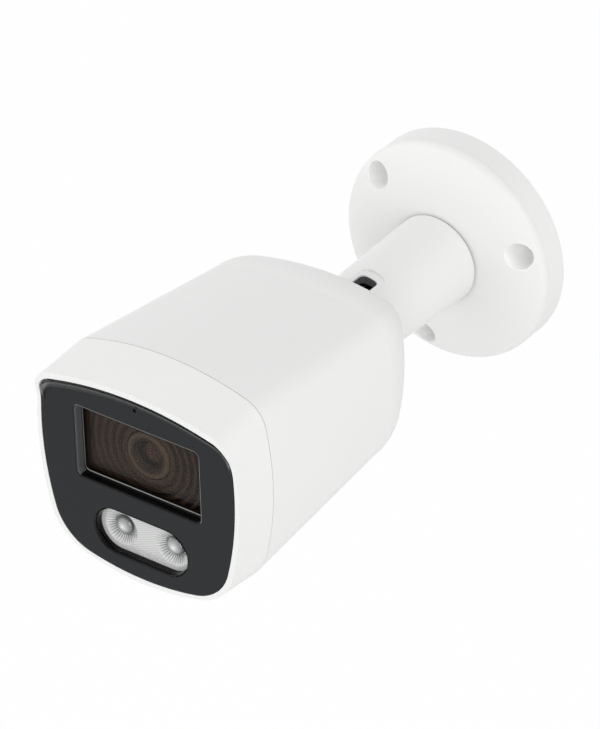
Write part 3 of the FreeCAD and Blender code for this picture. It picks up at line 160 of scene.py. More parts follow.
def texture(tree, kind, place, scale, **settings):
    """A texture node on a place, with its sockets and choices set."""
    node = tree.nodes.new("ShaderNodeTex" + kind)
    tree.links.new(place, node.inputs["Vector"])
    if isinstance(scale, (int, float)):
        node.inputs["Scale"].default_value = scale
    else:
        tree.links.new(scale, node.inputs["Scale"])
    for name, value in settings.items():
        title = name.replace("_", " ").title()
        if title in node.inputs:
            node.inputs[title].default_value = value
        else:
            setattr(node, name, value)
    return node.outputs


def shaded(tree, colour, value):
    """A colour made lighter or darker by a value round 1."""
    node = tree.nodes.new("ShaderNodeHueSaturation")
    tree.links.new(colour, node.inputs["Color"])
    tree.links.new(value, node.inputs["Value"])
    return node.outputs["Color"]


def blended(tree, amount, first, second):
    """A mix of two colours by an amount."""
    node = tree.nodes.new("ShaderNodeMix")
    node.data_type = "RGBA"
    tree.links.new(amount, node.inputs[0])
    tree.links.new(first, node.inputs[6])
    tree.links.new(second, node.inputs[7])
    return node.outputs[2]


def object_place(tree):
    """The place on the object."""
    return tree.nodes.new("ShaderNodeTexCoord").outputs["Object"]


def apart(tree, place):
    """The X, Y and Z of a place."""
    node = tree.nodes.new("ShaderNodeSeparateXYZ")
    tree.links.new(place, node.inputs[0])
    return node.outputs["X"], node.outputs["Y"], node.outputs["Z"]


def far(tree, across, up):
    """How far off a point is, from its two sides."""
    squares = [calc(tree, "POWER", side, 2.0) for side in (across, up)]
    return calc(tree, "SQRT", calc(tree, "ADD", *squares))


def uneven(tree, place):
    """A slow drift round zero, as mouldings have in colour and gloss."""
    return calc(tree, "SUBTRACT", texture(tree, "Noise", place, 45, detail=2.0)[0], 0.5)


def toned(tree, colour, swing, amount):
    """A colour that follows a drift by an amount."""
    return shaded(tree, colour, calc(tree, "MULTIPLY_ADD", swing, amount, 1.0))


def fine_grain(tree, place, scale=4000):
    """The grain of a moulded face."""
    return texture(tree, "Noise", place, scale, detail=3.0, roughness=0.6)[0]


def moulded_skin_group():
    """Fine moulded texture: uneven colour, uneven gloss and a low relief."""
    inputs = {"Color": (0.8, 0.8, 0.8), "Grain": 4000.0, "Tone": 0.02, "Gloss": 0.4, "Gloss Spread": 0.06}
    tree, given, result = new_group("moulded skin", inputs)
    place = object_place(tree)
    swing = uneven(tree, place)
    gloss = calc(tree, "MULTIPLY_ADD", swing, given["Gloss Spread"], given["Gloss"])
    tree.links.new(toned(tree, given["Color"], swing, given["Tone"]), result["Color"])
    tree.links.new(gloss, result["Roughness"])
    tree.links.new(fine_grain(tree, place, given["Grain"]), result["Height"])
    return tree


def foam_group():
    """Closed-cell foam: small round pores, with painted shade darkening each cell towards its border."""
    inputs = {"Color": (0.1, 0.1, 0.1), "Cells": 2200.0}
    tree, given, result = new_group("closed foam", inputs)
    cells = texture(tree, "Voronoi", object_place(tree), given["Cells"])["Distance"]
    shade = calc(tree, "MULTIPLY_ADD", cells, -0.7, 1.3)
    tree.links.new(shaded(tree, given["Color"], shade), result["Color"])
    tree.links.new(calc(tree, "MULTIPLY_ADD", cells, 0.1, 0.85), result["Roughness"])
    tree.links.new(cells, result["Height"])
    return tree


def finish(name, group, settings, relief=0.06, depth=0.1 * mm, **plain):
    """A material built on a shared effect, with the shader's own constants."""
    material = bpy.data.materials.new(name)
    material.use_nodes = True
    tree = material.node_tree
    shader = tree.nodes["Principled BSDF"]
    effect = tree.nodes.new("ShaderNodeGroup")
    effect.node_tree = group
    for title, value in settings.items():
        effect.inputs[title].default_value = (*value, 1) if isinstance(value, tuple) else value
    tree.links.new(effect.outputs["Color"], shader.inputs["Base Color"])
    tree.links.new(effect.outputs["Roughness"], shader.inputs["Roughness"])
    bump = tree.nodes.new("ShaderNodeBump")
    bump.inputs["Strength"].default_value = relief
    bump.inputs["Distance"].default_value = depth
    tree.links.new(effect.outputs["Height"], bump.inputs["Height"])
    tree.links.new(bump.outputs["Normal"], shader.inputs["Normal"])
    for title, value in plain.items():
        shader.inputs[title.replace("_", " ")].default_value = value
    return material


def moulded(name, colour, gloss, relief=0.06, grain=4000.0, tone=0.02, spread=0.06, **plain):
    """A moulded or cast finish built on the fine skin."""
    settings = {"Color": colour, "Grain": grain, "Tone": tone, "Gloss": gloss, "Gloss Spread": spread}
    return finish(name, moulded_skin, settings, relief, **plain)


def paint(material, *nodes):
    """Gives CAD nodes their finish."""
    for node in nodes:
        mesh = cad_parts[node].data
        mesh.materials.clear()
        mesh.materials.append(material)


moulded_skin = moulded_skin_group()
closed_foam = foam_group()
case_white, case_gloss, case_relief = (0.79, 0.797, 0.785), 0.42, 0.08
white_case = moulded("white moulded case", case_white, case_gloss, relief=case_relief)
screw_circle, seat_radius, first_screw = 26.4 * mm, 3.86 * mm, math.radians(17.9)


def seated_case_group():
    """The white case, with painted light making its three screw seats brighter, and a little glossier there.
    """
    inputs = {"Case": (0.8, 0.8, 0.8), "Seat Painted Light": (0.95, 0.95, 0.94), "Gloss": 0.42}
    tree, given, result = new_group("case with painted light in its seats", inputs)
    place = object_place(tree)
    x, _, z = apart(tree, place)
    away = far(tree, x, z)
    turn = calc(tree, "SUBTRACT", calc(tree, "ARCTAN2", z, x), first_screw)
    third = calc(tree, "ROUND", calc(tree, "DIVIDE", turn, math.tau / 3))
    turn = calc(tree, "SUBTRACT", turn, calc(tree, "MULTIPLY", third, math.tau / 3))
    outward = calc(tree, "MULTIPLY", away, calc(tree, "COSINE", turn))
    outward = calc(tree, "SUBTRACT", outward, screw_circle)
    aside = calc(tree, "MULTIPLY", away, calc(tree, "SINE", turn))
    # Painted light: the seats get a near-white colour that lifts the shade in them.
    seat = calc(tree, "LESS_THAN", far(tree, outward, aside), seat_radius)
    swing = uneven(tree, place)
    case = toned(tree, given["Case"], swing, 0.02)
    gloss = calc(tree, "SUBTRACT", given["Gloss"], calc(tree, "MULTIPLY", seat, 0.1))
    tree.links.new(blended(tree, seat, case, given["Seat Painted Light"]), result["Color"])
    tree.links.new(calc(tree, "MULTIPLY_ADD", swing, 0.06, gloss), result["Roughness"])
    tree.links.new(fine_grain(tree, place), result["Height"])
    return tree


# The seats' near-white colour is painted light.
seated = {"Case": case_white, "Seat Painted Light": (0.98, 0.98, 0.97), "Gloss": case_gloss}
paint(finish("white base case", seated_case_group(), seated, case_relief), "wall_base")
seal_foam = finish("grey seal foam", closed_foam, {"Color": (0.12, 0.12, 0.12), "Cells": 2200.0}, relief=0.5)
paint(seal_foam, "base_gasket")

# Arm, its friction washer, the ring that clamps it and the ring's screws. The arm is the same
# white moulding, with painted shade in dark grey under its skin; the ring is glass-filled grey nylon,
# the washer slippery dark plastic, the screws zinc-plated with fine turning marks.


def brushed_metal_group():
    """Fine parallel marks drawn out along one direction, with small changes of gloss."""
    inputs = {"Color": (0.6, 0.6, 0.6), "Stretch": [900.0, 9000.0, 9000.0], "Contrast": 0.2, "Gloss": 0.3}
    tree, given, result = new_group("brushed metal", inputs)
    drawn = tree.nodes.new("ShaderNodeVectorMath")
    drawn.operation = "MULTIPLY"
    tree.links.new(object_place(tree), drawn.inputs[0])
    tree.links.new(given["Stretch"], drawn.inputs[1])
    marks = texture(tree, "Noise", drawn.outputs[0], 1.0, detail=4.0, roughness=0.65)[0]
    swing = calc(tree, "SUBTRACT", marks, 0.5)
    gloss = calc(tree, "MULTIPLY_ADD", swing, given["Contrast"], given["Gloss"])
    tree.links.new(toned(tree, given["Color"], swing, given["Contrast"]), result["Color"])
    tree.links.new(gloss, result["Roughness"])
    tree.links.new(marks, result["Height"])
    return tree


def metal(name, colour, gloss, stretch, contrast=0.2, relief=0.1):
    """A metal with fine marks along one direction."""
    settings = {"Color": colour, "Stretch": stretch, "Contrast": contrast, "Gloss": gloss}
    return finish(name, brushed_metal, settings, relief, 0.02 * mm, Metallic=1.0)


brushed_metal = brushed_metal_group()

foot_reach, foot_radius = 13.0 * mm, 12.55 * mm
tip_reach, tip_radius = 51.4 * mm, 11.45 * mm
arm_taper = (foot_radius - tip_radius) / (tip_reach - foot_reach)
arm_skin = 0.9 * mm


def bore_shade_case_group():
    """The white case outside, and painted shade in dark grey just under its skin, so the slot looks deep."""
    inputs = {"Outside": (0.8, 0.8, 0.8), "Inside": (0.03, 0.03, 0.03)}
    tree, given, result = new_group("case with painted bore shade", inputs)
    place = object_place(tree)
    x, y, z = apart(tree, place)
    run = calc(tree, "ADD", y, foot_reach)
    edge = calc(tree, "MULTIPLY_ADD", run, arm_taper, foot_radius - arm_skin)
    inside = calc(tree, "LESS_THAN", far(tree, x, z), edge)
    swing = uneven(tree, place)
    case = toned(tree, given["Outside"], swing, 0.02)
    tree.links.new(blended(tree, inside, case, given["Inside"]), result["Color"])
    tree.links.new(calc(tree, "MULTIPLY_ADD", swing, 0.06, case_gloss), result["Roughness"])
    tree.links.new(fine_grain(tree, place), result["Height"])
    return tree


# Painted shade: the arm is dark grey inside its skin, standing for the shade in its slot.
bored = {"Outside": case_white, "Inside": (0.1, 0.1, 0.102)}
arm_case = finish("white arm case", bore_shade_case_group(), bored, case_relief)
dark_nylon = moulded("dark slippery nylon", (0.018, 0.018, 0.019), 0.45)
grey_nylon = moulded("glass-filled grey nylon", (0.06, 0.06, 0.062), 0.5, relief=0.2, tone=0.1)
zinc = metal("zinc-plated steel", (0.62, 0.62, 0.6), 0.28, [2500.0, 700.0, 2500.0])
paint(arm_case, "arm")
paint(dark_nylon, "pan_washer", "tilt_washers")
paint(grey_nylon, "pan_ring")
paint(zinc, "pan_screws")

# Tilt joint. A grey die-cast knuckle turns on a ground steel pin inside the arm's slot; a black
# grub screw under the arm presses a rubber shoe on its hub.

cast_grey = metal("die-cast knuckle", (0.5, 0.5, 0.51), 0.3, [1800.0] * 3, relief=0.25)
ground_steel = metal("ground steel pin", (0.6, 0.6, 0.61), 0.2, [9000.0, 900.0, 900.0])
black_steel = metal("blackened steel", (0.06, 0.06, 0.062), 0.35, [2500.0, 2500.0, 700.0])
black_rubber = moulded(
    "black rubber", (0.012, 0.012, 0.012), 0.7, relief=0.3, grain=2500.0, tone=0.15, Specular_IOR_Level=0.3
)
paint(cast_grey, "tilt_knuckle")
paint(ground_steel, "tilt_pin")
paint(black_steel, "tilt_lock_screw")
paint(black_rubber, "brake_shoe")

# Rear joint of the camera body: rubber ring, spring clip and the rubber gland of the cable.

spring_steel = metal("spring steel", (0.45, 0.45, 0.46), 0.3, [1500.0, 6000.0, 1500.0])
paint(black_rubber, "rear_seal", "cable_gland")
paint(spring_steel, "rear_clip")

# Housing and front cover: two white shells that meet in a fine seam, with the rubber seal and the
# four screws that draw them together.

paint(white_case, "main_housing", "front_cover")
paint(black_rubber, "cover_seal")
paint(zinc, "cover_screws")

# Front panel: one charcoal moulding with a fine matt face. Its two recesses have polished black
# frames, whose rounded edges lap over the panel's own. The window frame's left wall is satin with
# painted light on it, and its upper and right edges are satin with a painted highlight.

face = 139.7 * mm
window_width, window_height, window_level = 38.6 * mm, 21.0 * mm, 5.6 * mm
lamp_width, lamp_height, lamp_level = 29.0 * mm, 13.1 * mm, -17.75 * mm
window_depth, lamp_depth = 3.0 * mm, 2.4 * mm


def start_rectangle(width, height, reach, level, corner, steps):
    """A flat rounded rectangle that faces the viewer's side, open for editing."""
    bpy.ops.object.select_all(action="DESELECT")
    bpy.ops.mesh.primitive_plane_add(size=width, location=(0, -reach, level), rotation=(math.pi / 2, 0, 0))
    bpy.ops.object.transform_apply(location=True, rotation=True, scale=True)
    bpy.ops.object.mode_set(mode="EDIT")
    bpy.ops.mesh.select_all(action="SELECT")
    bpy.ops.transform.resize(value=(1, 1, height / width), center_override=(0, -reach, level))
    bpy.ops.mesh.bevel(offset=corner, segments=steps, affect="VERTICES")


def hollow_out(rim, depth):
    """Leaves a rim of the flat shape and gives it a depth away from the viewer's side."""
    bpy.ops.mesh.inset(thickness=rim)
    bpy.ops.mesh.delete(type="FACE")
    bpy.ops.mesh.select_all(action="SELECT")
    bpy.ops.mesh.extrude_region_move(TRANSFORM_OT_translate={"value": (0, depth, 0)})


def piece_done(name, body, slot, *materials, crease=30.0):
    """Closes the edit, names and paints the piece and lets it ride."""
    bpy.ops.mesh.select_all(action="SELECT")
    bpy.ops.mesh.normals_make_consistent(inside=False)
    bpy.ops.object.mode_set(mode="OBJECT")
    piece = bpy.context.object
    piece.name = name
    piece.data.name = name
    for material in materials:
        piece.data.materials.append(material)
    bpy.ops.object.shade_smooth_by_angle(angle=math.radians(crease))
    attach(piece, body)
    return piece


def round_inner_edge(width, height, reach, level, size, steps, stretch):
    """Rounds the front edge of an opening of this width and height, then draws the frame deeper."""
    bpy.ops.object.mode_set(mode="OBJECT")
    ring = bpy.context.object.data
    for point in ring.vertices:
        inside = abs(point.co.x) < width / 2 and abs(point.co.z - level) < height / 2
        point.select = inside and point.co.y < -reach + 0.01 * mm
    for edge in ring.edges:
        edge.select = all(ring.vertices[end].select for end in edge.vertices)
    for side in ring.polygons:
        side.select = False
    bpy.ops.object.mode_set(mode="EDIT")
    bpy.ops.mesh.bevel(offset=size, segments=steps)
    bpy.ops.mesh.select_all(action="SELECT")
    bpy.ops.transform.resize(value=(1, stretch, 1), center_override=(0, -reach, level))


def lipped_skin_group():
    """The fine matt face, its raised edge lip smoother, coated and painted paler as a painted highlight."""
    inputs = {"Color": (0.01, 0.01, 0.01), "Lip": (0.02, 0.02, 0.02), "Gloss": 0.45, "Lip Gloss": 0.2}
    tree, given, result = new_group("lipped skin", inputs, "Coat")
    place = object_place(tree)
    _, y, _ = apart(tree, place)
    proud = calc(tree, "SUBTRACT", calc(tree, "MULTIPLY", y, -1.0), lip_reach)
    lip = calc(tree, "MULTIPLY", proud, 1 / lip_rise)
    lip = calc(tree, "MINIMUM", calc(tree, "MAXIMUM", lip, 0.0), 1.0)
    swing = uneven(tree, place)
    tone = toned(tree, given["Color"], swing, 0.03)
    change = calc(tree, "SUBTRACT", given["Lip Gloss"], given["Gloss"])
    gloss = calc(tree, "MULTIPLY_ADD", lip, change, given["Gloss"])
    matt = calc(tree, "SUBTRACT", 1.0, lip)
    tree.links.new(blended(tree, lip, tone, given["Lip"]), result["Color"])
    tree.links.new(calc(tree, "MULTIPLY_ADD", swing, 0.04, gloss), result["Roughness"])
    tree.links.new(lip, result["Coat"])
    tree.links.new(calc(tree, "MULTIPLY", fine_grain(tree, place, 3600), matt), result["Height"])
    return tree


lip_reach, lip_rise = face + 0.2 * mm, mm / 3
# Painted highlight: the lip's colour is paler than the face's.
lipped = {"Color": (0.0052, 0.0067, 0.0083), "Lip": (0.022, 0.023, 0.024), "Gloss": 0.45, "Lip Gloss": 0.25}
lipped_skin = lipped_skin_group()
charcoal = finish(
    "charcoal moulding", lipped_skin, lipped, 0.12, Specular_IOR_Level=0.24, Coat_Roughness=0.15
)
coat = charcoal.node_tree.nodes["Group"].outputs["Coat"]
coated_shader = charcoal.node_tree.nodes["Principled BSDF"]
charcoal.node_tree.links.new(coat, coated_shader.inputs["Coat Weight"])
frame_black = moulded(
    "polished black frame", (0.003, 0.003, 0.003), 0.1, relief=0.0, Specular_IOR_Level=0.16
)
# Painted light: the frame's left wall is paler, as if lit from the right, and its upper and right edges are
# a painted highlight.
wall_satin_painted_light = moulded("satin frame wall, painted light", (0.085, 0.087, 0.09), 0.34, relief=0.1, grain=3000.0)
edge_painted_highlight = moulded("frame edge, painted highlight", (0.12, 0.12, 0.118), 0.3, relief=0.05, grain=3000.0)
paint(charcoal, "front_panel")

frame_lap, frame_wall = 0.34 * mm, 0.24 * mm
frame_front = face + 0.05 * mm
frame_round, round_steps = 0.5 * mm, 6
frame_draw = 2.2
edge_band = 0.3 * mm


def recess_frame(width, height, level, corner, corner_steps, depth):
    """A frame that laps over the edge of a recess and lines its wall."""
    outer = (width + 2 * frame_lap, height + 2 * frame_lap)
    start_rectangle(*outer, frame_front, level, corner, corner_steps)
    hollow_out(frame_lap + frame_wall, depth / frame_draw)
    round_inner_edge(width, height, frame_front, level, frame_round, round_steps, frame_draw)


window_corner, window_lining = 1.9 * mm, window_depth - 0.45 * mm
recess_frame(window_width, window_height, window_level, window_corner, 6, window_lining)
window_frame = piece_done("window_frame", "camera_body", "black_panel", frame_black, wall_satin_painted_light, edge_painted_highlight)
# The left wall takes the painted light, and the front of the upper and right edges the painted highlight.
for side in window_frame.data.polygons:
    if side.normal.x > 0.45 and side.center.x < 0:
        side.material_index = 1
    upper = side.center.z > window_level + window_height / 2 - edge_band
    right = side.center.x > window_width / 2 - edge_band
    if (upper or right) and side.normal.y < -0.5:
        side.material_index = 2

lamp_corner, lamp_lining = lamp_height / 2 + frame_lap - 0.05 * mm, lamp_depth - 0.05 * mm
recess_frame(lamp_width, lamp_height, lamp_level, lamp_corner, 16, lamp_lining)
piece_done("lamp_frame", "camera_body", "black_panel", frame_black)

# Window: a brown-tinted pane on a black rubber seal, with a thin pale bead, a painted highlight,
# where the pane's edge meets the frame. The pane's IOR is set below that of glass, so that it
# reflects only weakly, and it throws no shadow on what lies behind it.

smooth_pane = {"relief": 0.0, "tone": 0.06, "spread": 0.0, "Transmission_Weight": 1.0, "IOR": 1.19}
tinted_pane = moulded("brown tinted pane", (0.68, 0.54, 0.45), 0.0, **smooth_pane)
# The bead's pale colour is a painted highlight.
bead_painted_highlight = moulded("pale pane edge, painted highlight", (0.34, 0.34, 0.325), 0.3, relief=0.0, tone=0.1)
paint(tinted_pane, "window_glass")
paint(black_rubber, "window_gasket")


def lets_light_in(node):
    """Keeps a glass node out of shadow and diffuse rays."""
    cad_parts[node].visible_shadow = False
    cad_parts[node].visible_diffuse = False


lets_light_in("window_glass")

bead_inset, bead_width, bead_depth = 0.75 * mm, 0.34 * mm, 0.4 * mm
bead_front = face - window_depth + 0.42 * mm
bead_size = (window_width - bead_inset, window_height - bead_inset)
start_rectangle(*bead_size, bead_front, window_level, corner=1.6 * mm, steps=8)
hollow_out(bead_width, bead_depth)
bpy.ops.mesh.select_all(action="SELECT")
bpy.ops.mesh.remove_doubles(threshold=0.001 * mm)
window_bead = piece_done("window_bead", "camera_body", "black_panel", bead_painted_highlight, frame_black, edge_painted_highlight)
# The bead's front takes the painted highlight, and the front of its left end the frame edges' painted
# highlight.
for side in window_bead.data.polygons:
    if side.normal.y > -0.5:
        side.material_index = 1
    elif side.center.x < -window_width / 2 + 1 * mm:
        side.material_index = 2

# Lamp optic: a clear moulding with two deep cups. Fine ribs run down each cup to a clear bead
# over the lamp, fine lines fill the field between the cups and fine dots its lower edge.

optic_front = 137.3 * mm
cup_radius, cup_depth, cup_pitch = 5.0 * mm, 1.7 * mm, 16.0 * mm
cup_ribs = 36
cup_floor = 2.4 * mm
dot_band = -4.1 * mm
bead_radius = 2.65 * mm


def ribbed_optic_group():
    """Radial ribs in the two cups, slanted lines on the field and dots along its lower edge."""
    inputs = {"Color": (0.8, 0.8, 0.8), "Groove": (0.2, 0.2, 0.2), "Gloss": 0.12}
    inputs.update({"Line Density": 620.0, "Dot Density": 1900.0})
    tree, given, result = new_group("ribbed optic", inputs)
    place = object_place(tree)
    slant = tree.nodes.new("ShaderNodeMapping")
    slant.inputs["Rotation"].default_value = (0, math.radians(20), 0)
    tree.links.new(place, slant.inputs["Vector"])
    drawn = {"bands_direction": "Z", "distortion": 0.4}
    lines = texture(tree, "Wave", slant.outputs[0], given["Line Density"], **drawn)["Fac"]
    dots = texture(tree, "Voronoi", place, given["Dot Density"])["Distance"]
    x, _, z = apart(tree, place)
    across = calc(tree, "SUBTRACT", calc(tree, "ABSOLUTE", x), cup_pitch / 2)
    up = calc(tree, "SUBTRACT", z, lamp_level)
    away = far(tree, across, up)
    turn = calc(tree, "MULTIPLY", calc(tree, "ARCTAN2", up, across), float(cup_ribs))
    rib = calc(tree, "MULTIPLY_ADD", calc(tree, "COSINE", turn), 0.5, 0.5)
    # Painted shade: the grooves between the ribs are darker, and darker still deeper in the cup.
    wall = cup_radius - cup_floor
    deep = calc(tree, "MULTIPLY_ADD", away, -1.0 / wall, cup_radius / wall)
    deeper_shade = calc(tree, "MULTIPLY_ADD", deep, 1.0, 0.15)
    groove = calc(tree, "POWER", calc(tree, "SUBTRACT", 1.0, rib), 1.3)
    groove = calc(tree, "MINIMUM", calc(tree, "MULTIPLY", groove, deeper_shade), 0.97)
    low = calc(tree, "LESS_THAN", up, dot_band)
    lined = calc(tree, "MULTIPLY", lines, calc(tree, "SUBTRACT", 1.0, low))
    field = calc(tree, "ADD", lined, calc(tree, "MULTIPLY", dots, low))
    dark = calc(tree, "MULTIPLY", calc(tree, "SUBTRACT", 1.0, field), 0.3)
    in_cup = calc(tree, "LESS_THAN", away, cup_radius + 0.1 * mm)
    out_of_cup = calc(tree, "SUBTRACT", 1.0, in_cup)
    share = calc(tree, "MULTIPLY", groove, in_cup)
    share = calc(tree, "ADD", share, calc(tree, "MULTIPLY", dark, out_of_cup))
    tree.links.new(blended(tree, share, given["Color"], given["Groove"]), result["Color"])
    tree.links.new(calc(tree, "MULTIPLY_ADD", share, 0.2, given["Gloss"]), result["Roughness"])
    tree.links.new(calc(tree, "SUBTRACT", 1.0, share), result["Height"])
    return tree


optic = {"Color": (0.66, 0.67, 0.66), "Groove": (0.02, 0.022, 0.022), "Gloss": 0.14}
optic_clear = finish("ribbed clear optic", ribbed_optic_group(), optic, 0.7, IOR=1.49, Coat_Weight=0.4)
paint(optic_clear, "lamp_optic")


def graded_disc_group():
    """A round face whose colour drifts from its middle to its rim: a coat's colour, and painted light on a
    dome.
    """
    inputs = {"Middle": (0.5, 0.2, 0.3), "Rim": (0.2, 0.3, 0.5), "Across": 0.0, "Level": 5.6 * mm}
    inputs.update({"Radius": 4 * mm, "Sharpness": 1.0, "Gloss": 0.03})
    tree, given, result = new_group("graded disc", inputs)
    place = object_place(tree)
    x, _, z = apart(tree, place)
    across = calc(tree, "SUBTRACT", x, given["Across"])
    up = calc(tree, "SUBTRACT", z, given["Level"])
    share = calc(tree, "DIVIDE", far(tree, across, up), given["Radius"])
    share = calc(tree, "POWER", calc(tree, "MINIMUM", share, 1.0), given["Sharpness"])
    tree.links.new(blended(tree, share, given["Middle"], given["Rim"]), result["Color"])
    tree.links.new(calc(tree, "MULTIPLY_ADD", share, 0.02, given["Gloss"]), result["Roughness"])
    tree.links.new(texture(tree, "Noise", place, 200, detail=1.0)[0], result["Height"])
    return tree


graded_disc = graded_disc_group()


def copied(piece, name, across, material):
    """A copy of a piece with a mesh of its own, moved sideways."""
    twin = piece.copy()
    twin.data = piece.data.copy()
    twin.name = name
    twin.data.name = name
    twin.data.transform(Matrix.Translation((across, 0, 0)))
    twin.data.materials[0] = material
    bpy.context.scene.collection.objects.link(twin)
    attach(twin, "camera_body")


left = -cup_pitch / 2
centre = (left, -optic_front, lamp_level)
bpy.ops.object.select_all(action="DESELECT")
rim_place = (left, -optic_front - 0.02 * mm, lamp_level)
upright = (math.pi / 2, 0, 0)
bpy.ops.mesh.primitive_circle_add(
    vertices=cup_ribs * 2, radius=cup_radius + 0.05 * mm, location=rim_place, rotation=upright
)
bpy.ops.object.transform_apply(location=True, rotation=True, scale=True)
bpy.ops.object.mode_set(mode="EDIT")
bpy.ops.mesh.select_all(action="SELECT")
cup_steps, cup_foot = 3, 2.95 * mm
slope = (cup_radius - cup_foot) / cup_steps
for step in range(cup_steps):
    before = cup_radius - slope * step
    shrink = (before - slope) / before
    bpy.ops.mesh.extrude_region_move(TRANSFORM_OT_translate={"value": (0, cup_depth / cup_steps, 0)})
    bpy.ops.transform.resize(value=(shrink, 1, shrink), center_override=centre)
bpy.ops.mesh.select_all(action="DESELECT")
bpy.ops.object.mode_set(mode="OBJECT")
cup = bpy.context.object
for point in cup.data.vertices:
    turn = math.atan2(point.co.z - lamp_level, point.co.x - left) / math.tau * cup_ribs * 2
    point.select = round(turn) % 2 == 0 and point.co.y > -optic_front + 0.1 * mm
bpy.ops.object.mode_set(mode="EDIT")
rib_height, rib_wall = 0.22 * mm, 0.015 * mm
bpy.ops.transform.translate(value=(0, -rib_height, 0))
bpy.ops.mesh.select_all(action="SELECT")
bpy.ops.mesh.extrude_region_move(TRANSFORM_OT_translate={"value": (0, rib_wall, 0)})
left_cup = piece_done("left_cup_ribs", "camera_body", "clear_plastic", optic_clear, crease=5.0)
copied(left_cup, "right_cup_ribs", cup_pitch, optic_clear)


def bead_painted_light_finish(name, across):
    """A clear dome over a lamp: a pale painted glint over the lamp and a dark painted reflection at its rim.
    """
    dome = {"Middle": (0.85, 0.87, 0.87), "Rim": (0.045, 0.05, 0.05), "Across": across, "Level": lamp_level}
    dome.update({"Radius": 2.9 * mm, "Sharpness": 0.7, "Gloss": 0.04})
    return finish(name, graded_disc, dome, 0.0, Specular_IOR_Level=0.8, Coat_Weight=0.5)


bead_base = optic_front - cup_depth + 0.02 * mm
bead_place = (left, -bead_base, lamp_level)
bead_flat, bead_foot = 0.42, 0.45 * mm
bpy.ops.object.select_all(action="DESELECT")
bpy.ops.mesh.primitive_uv_sphere_add(
    segments=40, ring_count=20, radius=bead_radius, location=bead_place, rotation=upright
)
bpy.ops.object.transform_apply(location=True, rotation=True, scale=True)
bpy.ops.object.mode_set(mode="EDIT")
bpy.ops.mesh.select_all(action="SELECT")
bpy.ops.mesh.bisect(plane_co=bead_place, plane_no=(0, 1, 0), use_fill=True, clear_outer=True)
bpy.ops.mesh.select_all(action="SELECT")
bpy.ops.transform.resize(value=(1, bead_flat, 1), center_override=bead_place)
bpy.ops.transform.translate(value=(0, -bead_foot, 0))
bpy.ops.mesh.select_all(action="DESELECT")
bpy.ops.object.mode_set(mode="OBJECT")
for point in bpy.context.object.data.vertices:
    point.select = point.co.y > -bead_base - bead_foot - 0.01 * mm
bpy.ops.object.mode_set(mode="EDIT")
bpy.ops.mesh.extrude_region_move(TRANSFORM_OT_translate={"value": (0, bead_foot, 0)})
# The domes' pale middle is a painted glint and their dark rim a painted reflection.
left_bead_painted_light = bead_painted_light_finish("left bead, painted glint and reflection", left)
left_bead = piece_done("left_bead_lens", "camera_body", "clear_plastic", left_bead_painted_light, crease=40.0)
copied(left_bead, "right_bead_lens", cup_pitch, bead_painted_light_finish("right bead, painted glint and reflection", cup_pitch / 2))

# Behind the optic: its foam ring, a white-coated board and two lamps with yellow phosphor.


def board_print_group():
    """A coated circuit board: fine tracks, square pads and a slightly uneven coat."""
    inputs = {"Coat": (0.02, 0.1, 0.04), "Track": (0.05, 0.2, 0.08)}
    inputs.update({"Pads": (0.6, 0.55, 0.4), "Density": 700.0})
    tree, given, result = new_group("board print", inputs)
    place = object_place(tree)
    edges = {"distance": "CHEBYCHEV", "feature": "DISTANCE_TO_EDGE"}
    tracks = texture(tree, "Voronoi", place, given["Density"], **edges)["Distance"]
    line = calc(tree, "LESS_THAN", tracks, 0.09)
    sparser = calc(tree, "MULTIPLY", given["Density"], 0.6)
    pads = texture(tree, "Voronoi", place, sparser, distance="CHEBYCHEV")["Distance"]
    pad = calc(tree, "LESS_THAN", pads, 0.16)
    cloud = texture(tree, "Noise", place, 300, detail=2.0)[0]
    coat = shaded(tree, given["Coat"], calc(tree, "MULTIPLY_ADD", cloud, 0.2, 0.9))
    tracked = blended(tree, line, coat, given["Track"])
    tree.links.new(blended(tree, pad, tracked, given["Pads"]), result["Color"])
    tree.links.new(calc(tree, "MULTIPLY_ADD", cloud, 0.15, 0.25), result["Roughness"])
    tree.links.new(calc(tree, "ADD", line, pad), result["Height"])
    return tree


board_print = board_print_group()


def board(name, colours, density, relief, depth=0.03 * mm):
    """A board or chip face in the colours of its coat, its tracks and its pads."""
    settings = dict(zip(("Coat", "Track", "Pads"), colours), Density=density)
    return finish(name, board_print, settings, relief, depth)


white_colours = ((0.75, 0.75, 0.74), (0.68, 0.68, 0.67), (0.7, 0.66, 0.52))
green_colours = ((0.012, 0.085, 0.035), (0.02, 0.14, 0.06), (0.62, 0.55, 0.36))
white_board = board("white coated board", white_colours, 420.0, 0.15)
green_board = board("green coated board", green_colours, 700.0, 0.25)
phosphor = moulded("yellow phosphor lamp", (0.75, 0.62, 0.2), 0.25, relief=0.1, grain=5000.0, tone=0.2)
paint(white_board, "lamp_board")
paint(phosphor, "lamps")
paint(seal_foam, "optic_gasket")

# Microphone: a small metal can behind a black woven membrane.


def coil_group():
    """Rounded ridges side by side, as wire laid turn by turn or a weave shows them; grooves in painted
    shade.
    """
    inputs = {"Color": (0.6, 0.25, 0.1), "Turns": 800.0, "Gloss": 0.25}
    tree, given, result = new_group("wound wire", inputs)
    place = object_place(tree)
    turns = texture(tree, "Wave", place, given["Turns"], bands_direction="X", distortion=0.2)["Fac"]
    shade = calc(tree, "MULTIPLY_ADD", turns, 0.6, 0.6)
    tree.links.new(shaded(tree, given["Color"], shade), result["Color"])
    tree.links.new(calc(tree, "MULTIPLY_ADD", turns, -0.1, given["Gloss"]), result["Roughness"])
    tree.links.new(turns, result["Height"])
    return tree


